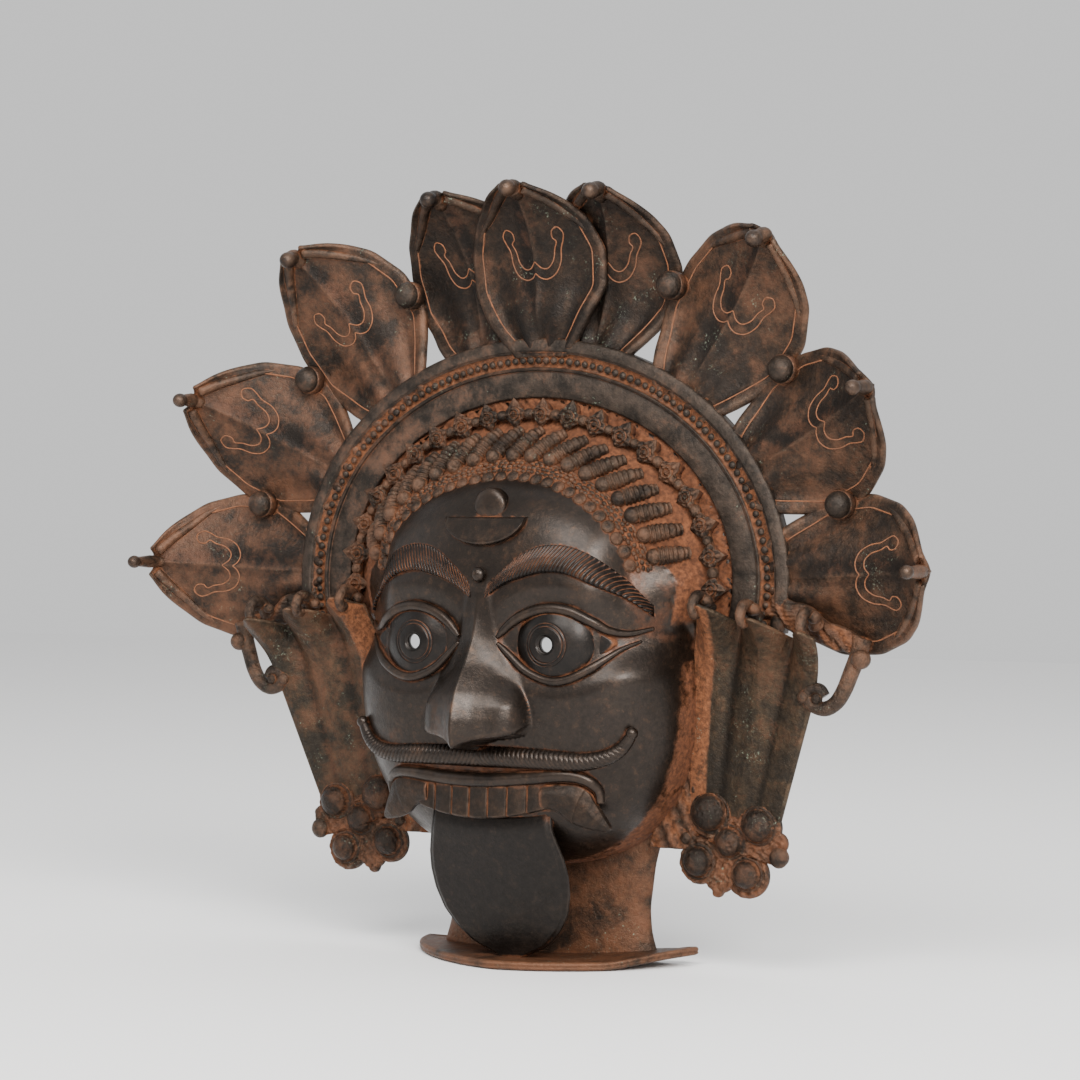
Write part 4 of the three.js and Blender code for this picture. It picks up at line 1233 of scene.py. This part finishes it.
def flowerTemplate(rings=17, cols=48):  # four petals, the outward one longest, round a ringed ball
    turn = np.linspace(0, 2 * pi, cols, endpoint=False)
    c, s = np.abs(np.cos(turn)), np.abs(np.sin(turn))
    reach = 7.2 + 1.0 * np.clip(-np.sin(turn), 0, 1) ** 4  # its outward side is the negative one
    outline = reach / (c + s) ** 1.1 * (1 - 0.12 * groove(np.minimum(c, s) - 0.7, 0.12))
    layers, grimeAndShade = [], []
    for share in np.linspace(1, 0.03, rings):
        r = outline * share
        rib = 0.7 * groove(np.minimum(c, s), 0.24) * (1 - share)
        knobs = 1.2 * np.clip(1 - ((r - 4.3) / 0.9) ** 2, 0, 1) * (0.5 + 0.5 * np.cos(8 * turn))
        collar = 1.2 * np.clip(1 - ((r - 2.6) / 0.7) ** 2, 0, 1)
        middle = 1.5 * np.sqrt(np.clip(1 - (r / 1.4) ** 2, 0, 1))
        height = 1.0 * (1 - share ** 3) + rib + knobs + collar + middle
        layers.append(np.stack([r * np.cos(turn), -height, r * np.sin(turn)], -1))
        grimeAndShade.append(np.maximum(0.8 * groove(r - 1.75, 0.4), 0.8 * groove(r - 3.25, 0.4)))
    under, foot = layers[0] * (0.9, 0, 0.9) + (0, 1.6, 0), layers[0] * (0.55, 0, 0.55) + (0, 9, 0)
    points, faces, _ = loft(np.array([foot, under] + layers))
    full = np.zeros(len(points))
    full[:cols * (rings + 2)] = 0.8 * np.concatenate([np.ones(2 * cols)] + grimeAndShade)
    return upright((points, faces, full))


def garlandSpots(angles, lift):
    radius = onEllipse(hair["garland"], angles)
    x, z = radius * np.cos(angles), crown["z"] + radius * np.sin(angles)
    spots = np.stack([x, headY(x, z) - lift, z], -1)
    run = np.stack([-np.sin(angles), 0 * angles, np.cos(angles)], -1)
    out = np.stack([-0.12 * np.cos(angles), -np.ones_like(angles), 0 * angles], -1)
    return spots, out / np.linalg.norm(out, axis=1, keepdims=True), run


sweep = evenAngles(0.87, -0.03, 2 * hair["flowers"] - 1)
spots, out, run = garlandSpots(sweep[::2], 5.5)
setOut("garlandFlowers", flowerTemplate(), spots, out, run, hairMetal, uneven=0.07, seed=2)
spots, out, run = garlandSpots(sweep[1::2], 4.6)
setOut("garlandBuds", upright(ball((0, 0, 0), (3.0, 2.8, 2.6), 8, 14)), spots, out, run, hairMetal,
       uneven=0.12, seed=4)
rope = garlandSpots(np.linspace(sweep[0], sweep[-1], 200), 2.6)[0]
drawLines("garlandRope", [rope], 1.0, hairMetal, thickness=1.9, sides=8)
print("hair and garland are made")

# ear flaps, clusters and tendrils


# both edges run from top to foot
flap = {"innerX": ([0, 0.3, 1], [93, 87, 81]), "outerX": ([0, 0.3, 1], [157, 148, 124]),
        "innerZ": (174, 69), "outerZ": (160, 62), "flare": 19, "drop": 8, "thick": 3,
        "pleats": ([0, 0.13, 0.24, 0.33, 0.43, 0.56, 0.66, 0.74, 0.84, 0.94, 1],
                   [0.25, 1, 0.7, 0.05, 0.65, 1, 0.6, 0.0, 0.65, 1, 0.7])}


def flapAt(u, v, back):
    pleat = softSteps(v, *flap["pleats"], 0.035)
    drop = (1 - pleat) * flap["drop"] * np.maximum(0, 1 - 6 * u)
    forward = pleat * (flap["flare"] * np.maximum(0, 1 - 3.2 * u) ** 2 + 5 * (1 - u)) + 5 * (1 - u)
    x = mix(softSteps(u, *flap["innerX"], 0.1), softSteps(u, *flap["outerX"], 0.1), v)
    z = mix(mix(*flap["innerZ"], u), mix(*flap["outerZ"], u), v)
    return np.stack([x, mix(2, 7, u) - forward + back * flap["thick"], z - drop], -1)


# orange crust along the inner strip and at the top; the pleat valleys get painted shade as values below 0
def flapCrustAndShade(u, v):
    valley = groove(v - 0.35, 0.06) + 0.9 * groove(v - 0.75, 0.05)
    crusted = 0.8 * ramp(v, 0.22, 0.15) + 0.25 * ramp(u, 0.25, 0.0)
    return np.where(valley > 0.05, -0.8 * valley, crusted)


# top of each hook and its drop
hookPlaces = [(97.5, -20, 175, 7), (122.5, -21, 171.5, 7), (152, -19, 168.5, 9)]


def hook(x, y, z, drop):
    stops = [(x + 0.5, y + 13, z - 5), (x, y + 7, z + 0.5), (x, y + 1, z + 1.2), (x, y - 2.5, z - 2.5),
             (x, y - 2.5, z - drop + 2), (x, y - 0.5, z - drop), (x, y + 2, z - drop + 1.5)]
    path = evenSteps(curveThrough(stops, 80), 50)
    bar = tube(path, np.interp(np.linspace(0, 1, 50), [0, 0.3, 0.8, 0.95, 1], [3.9, 2.8, 2.4, 2.8, 1.6]), 14)
    return joined([bar, ball((x + 2.5, y + 6, z - 1), (3.2, 3.6, 3.0)),
                   ball((x - 3.4, y + 8.5, z - 2.5), (2.6, 3, 2.4))])


crustCorners = ((122, 167), (166, 150.5), (130, 178), (173, 157))
webCorners = ((60, 57), (85, 57), (77, 108), (91, 108))


def inCorners(corners, u, v):  # x and z between four corners
    a, b, c, d = corners
    return mix(mix(a[0], b[0], u), mix(c[0], d[0], u), v), mix(mix(a[1], b[1], u), mix(c[1], d[1], u), v)


def crust():  # rough casting left where flap, halo and lowest hood meet
    def place(u, v, y):
        x, z = inCorners(crustCorners, u, v)
        return np.stack([x + 1.2 * np.sin(9 * u + 5 * v), y, z + 0.8 * np.sin(14 * u + 3 * v)], -1)

    def front(u, v):
        lumps = (np.sin(22 * u + 4 * v) * np.sin(9 * v + 6 * u)
                 + 0.6 * np.sin(51 * u - 8 * v) * np.sin(23 * v + 5 * u))
        return place(u, v, -1.0 - 2.6 * np.sin(pi * u) ** 0.5 * np.sin(pi * v) ** 0.7 - 0.8 * lumps)
    return sheet(front, lambda u, v: place(u, v, 2.6 + 0 * u), 24, 12, 2, bulge=0.3,
                 dirt=lambda u, v: 0.42 + 0.2 * np.sin(17 * u + 8 * v))


addPiece("earFlaps",
         bothSides([sheet(lambda u, v: flapAt(u ** 1.5, v, 0), lambda u, v: flapAt(u ** 1.5, v, 1),
                          32, 30, 4, bulge=0.8, dirt=flapCrustAndShade)]), flapMetal)
addPiece("flapHooks", bothSides([hook(*values) for values in hookPlaces]), hairMetal)
addPiece("crust", bothSides([crust()]), hairMetal)


def jawWeb():  # the rough casting that fills the gap between jaw, flap and boss cluster
    def place(u, v, y):
        x, z = inCorners(webCorners, u, v)
        return np.stack([x, y + 0.7 * np.sin(19 * u + 5 * v) * np.sin(31 * v + 4 * u), z], -1)
    return sheet(lambda u, v: place(u, v, 5.5 + 0 * u), lambda u, v: place(u, v, 9 + 0 * u), 14, 24, 2,
                 bulge=0.3, dirt=lambda u, v: 0.55 + 0.15 * np.sin(11 * u + 17 * v))


addPiece("jawWeb", bothSides([jawWeb()]), hairMetal)

# each dome's x, z, radius and height; each lobe's x, z and radius
cluster = {"middle": (102.0, 58.0),
           "domes": [(92.4, 75, 8.6, 6.8), (118, 69.8, 7.6, 6.6), (103, 61.5, 6.6, 5.6),
                     (86.5, 51.5, 6.9, 6.0), (112, 46.8, 6.6, 6.0)],
           "lobes": [(92, 74, 11), (118, 69, 10.8), (103, 61, 12), (86.5, 51, 10.4), (111.5, 46.5, 11),
                     (127, 62, 5), (128, 55.5, 4.2), (97, 45, 8), (96, 37.8, 2.8), (81, 62, 5)]}


def clusterShape(cells=108, step=4):
    angle, share = discGrid(cells + 1)
    cx, cz = cluster["middle"]
    inside, outside = np.zeros_like(angle), np.full_like(angle, 50.0)
    for _ in range(24):
        r = (inside + outside) / 2
        x, z = cx + r * np.cos(angle), cz + r * np.sin(angle)
        isIn = np.zeros(angle.shape, bool)
        for lx, lz, lr in cluster["lobes"]:
            isIn |= np.hypot(x - lx, z - lz) < lr
        inside, outside = np.where(isIn, r, inside), np.where(isIn, outside, r)
    radius = share * inside
    x, z = cx + radius * np.cos(angle), cz + radius * np.sin(angle)
    height, grimeAndShade = 0 * x, 0.5 + 0 * x
    for dx, dz, r, tall in cluster["domes"]:
        d = np.hypot(x - dx, z - dz)
        cap = tall * np.sqrt(np.clip(1 - (d / r) ** 2, 0, 1))
        collar = (0.9 * np.clip(1 - ((d - r - 0.9) / 0.9) ** 2, 0, 1)
                  + 0.6 * np.clip(1 - ((d - r - 3.0) / 0.8) ** 2, 0, 1))
        height = np.maximum(height, np.where(d < r, cap + 0.8, collar))
        grimeAndShade = np.where(d < r * 0.93, 0.0, np.where(np.abs(d - r - 0.9) < 0.7, 0.25, grimeAndShade))
    height = height + 0.55 * np.sin(x * 1.3 + np.sin(z)) * np.sin(z * 1.1) * (grimeAndShade > 0.4)
    rim = 1.2 * np.clip((share - 0.93) / 0.07, 0, 1) ** 2
    front = np.stack([x, 5.5 - height + rim, z], -1)
    kept = radius[::step, ::step]
    few = angle[::step, ::step]
    back = np.stack([cx + kept * np.cos(few), 8.5 + 0 * few, cz + kept * np.sin(few)], -1)
    ring = border(cells + 1, cells + 1)
    edge = front.reshape(-1, 3)[ring]
    loops = [np.stack([edge[:, 0], mix(edge[:, 1], 8.5, part), edge[:, 2]], -1) for part in (0.3, 0.7, 0.95)]
    return closeSheet(front, loops, back, step, grimeAndShade.ravel())


addPiece("clusters",
         bothSides([clusterShape(), ball((128, 6, 55.5), (4.6, 4, 5)), ball((80, 6.5, 62), (3.2, 3.4, 3.2))]),
         hairMetal)


curl = {"line": [(172, 1, 158), (170, 0.3, 150), (167, -0.5, 142), (164, -1, 134.5), (160, -1, 128.6),
                 (154.5, -1, 125.6), (148.4, -1.2, 127), (146, -1.5, 131), (148, -1.8, 134.3),
                 (152.2, -1.8, 134.2), (154.4, -1.6, 131.3)],
        "girth": ([0, 0.1, 0.6, 1], [4.8, 3.9, 3.5, 2.8]),
        "balls": [((172.6, -2, 148.6), (4.6, 4.6, 4.6)), ((144.6, -2.5, 130.6), (3.2, 3.4, 3.2)),
                  ((151.3, -3.2, 130.2), (2.7, 2.6, 2.7))]}


def tendril():
    path = evenSteps(curveThrough(curl["line"], 160), 120)
    bar = tube(path, np.interp(np.linspace(0, 1, 120), *curl["girth"]), 14)
    return joined([bar] + [ball(centre, radii) for centre, radii in curl["balls"]])


addPiece("tendrils", bothSides([tendril()]), hairMetal)
print("flaps, clusters and tendrils are made")

# neck and foot


def neckAt(u, v, inset):
    angle = pi * (1 - v)
    top = mix(neckTube["frontTop"], neckTube["sideTop"], np.abs(np.cos(angle)) ** 1.6)
    z = mix(neckTube["foot"], top, u)
    half = softSteps(z, *neckTube["outline"], 5) - inset
    y = neckTube["back"] - (neckTube["deep"] - inset) * np.sin(angle)
    return np.stack([half * np.cos(angle), y, z], -1)


footPlate = {"halfWidth": 76, "back": 26, "deep": 65, "middle": 8.0, "bend": 4.5, "bendFrom": 46}


def footShape(count=150):  # rings round the plate's edge: flat below, a small step round the top
    turn = np.linspace(pi, 0, count)
    x = footPlate["halfWidth"] * np.sign(np.cos(turn)) * np.abs(np.cos(turn)) ** 1.25
    y = footPlate["back"] - footPlate["deep"] * np.sin(turn) ** 1.25
    edge = np.stack([x, y], -1)
    backX = np.linspace(footPlate["halfWidth"], -footPlate["halfWidth"], 41)[1:-1]
    edge = np.concatenate([edge, np.stack([backX, np.full(39, float(footPlate["back"]))], -1)])
    centre = np.array([0, footPlate["middle"]])
    rings = []
    for inset, z in ((60, 0), (1.2, 0), (0.3, 0.5), (0, 1.2), (0.35, 1.75), (0.05, 2.3), (0, 2.9), (0.4, 3.5),
                     (1.2, 3.9), (2.6, 3.9), (4.0, 3.5), (60, 3.5)):
        away = edge - centre
        long = np.linalg.norm(away, axis=1, keepdims=True)
        flat = centre + away * np.maximum(long - inset, 1.0) / long if inset < 50 else centre + away * 0.02
        # the right end is bent up
        lift = footPlate["bend"] * ramp(flat[:, 0], footPlate["bendFrom"], footPlate["halfWidth"])
        rings.append(np.stack([flat[:, 0], flat[:, 1], z + lift], -1))
    return loft(rings)


addPiece("neck", sheet(lambda u, v: neckAt(u, v, 0), lambda u, v: neckAt(u, v, neckTube["wall"]),
                       16, 48, 2, bulge=0,
                       dirt=lambda u, v: 0.25 * ramp(u, 0.3, 0.0) + 0.25 * ramp(u, 0.75, 1.0) + 0.15),
         neckMetal)
addPiece("foot", footShape(), neckMetal)
print("neck and foot are made")

# wear: how hollow and how sharp each point is


def readAll(items, key, kind):  # a value with three parts from each item
    values = np.empty(len(items) * 3, kind)
    items.foreach_get(key, values)
    return values.reshape(-1, 3)


def weather(objects, reach=0.006, rays=7):  # short rays find the hollows, the neighbours find the edges
    clear, bend = 0.0002, 0.0001
    corners, sides, outward, starts, total = [], [], [], [], 0
    for obj in objects:
        mesh = obj.data
        mesh.calc_loop_triangles()
        corners.append(readAll(mesh.vertices, "co", np.float32))
        outward.append(readAll(mesh.vertices, "normal", np.float32))
        sides.append(readAll(mesh.loop_triangles, "vertices", np.int32) + total)
        starts.append(total)
        total += len(mesh.vertices)
    points, tri, normals = np.concatenate(corners), np.concatenate(sides), np.concatenate(outward)
    tree = BVHTree.FromPolygons(points.tolist(), tri.tolist(), all_triangles=True)
    helper = np.where(np.abs(normals[:, :1]) < 0.7, [[1.0, 0, 0]], [[0, 1.0, 0]])
    a = np.cross(normals, helper)
    a /= np.linalg.norm(a, axis=1, keepdims=True) + 1e-12
    b = np.cross(normals, a)
    shade = np.zeros(total)
    origins = (points + normals * clear).tolist()
    cast = tree.ray_cast
    for k in range(rays):
        tilt = 0.35 if k == 0 else 0.95
        turn = 2 * pi * k / (rays - 1) + 0.4
        rayTo = normals * math.cos(tilt) + (a * math.cos(turn) + b * math.sin(turn)) * math.sin(tilt)
        found = [cast(o, d, reach)[3] for o, d in zip(origins, rayTo.tolist())]
        hits = np.array([0.0 if f is None else 1 - f / reach for f in found])
        shade += hits / rays
    edges = np.concatenate([tri[:, [0, 1]], tri[:, [1, 2]], tri[:, [2, 0]]])
    degree = np.bincount(edges.ravel(), minlength=total) + 1e-9

    def spread(values):
        both = (np.bincount(edges[:, 0], values[edges[:, 1]], total)
                + np.bincount(edges[:, 1], values[edges[:, 0]], total))
        return both / degree

    def soften(values):
        for _ in range(2):
            values = 0.5 * values + 0.5 * spread(values)
        return values
    shade = soften(shade)
    mean = np.stack([spread(points[:, k]) for k in range(3)], -1)
    sharp = soften(np.einsum("ij,ij->i", points - mean, normals) / bend)
    for obj, start in zip(objects, starts):
        mesh = obj.data
        count = len(mesh.vertices)
        own = np.zeros(count, np.float32)
        if "grimeAndShade" in mesh.attributes:
            mesh.attributes["grimeAndShade"].data.foreach_get("value", own)
        else:
            mesh.attributes.new("grimeAndShade", "FLOAT", "POINT")
        part = slice(start, start + count)
        # values below 0, painted shade in folds, are kept; elsewhere the hollows found by the rays add grime
        grimeAndShade = np.where(own < 0, own, np.maximum(own, 1.3 * shade[part]))
        mesh.attributes["grimeAndShade"].data.foreach_set("value", grimeAndShade.astype(np.float32))
        mesh.attributes.new("edge", "FLOAT", "POINT").data.foreach_set(
            "value", np.clip(sharp[part], 0, 1).astype(np.float32))
    print("wear is worked out for", total, "points")


weather(pieces)

for obj in pieces:
    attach(obj, "root")
    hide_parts("bhuta_mask")
print("pieces are set on the frame:", len(pieces))
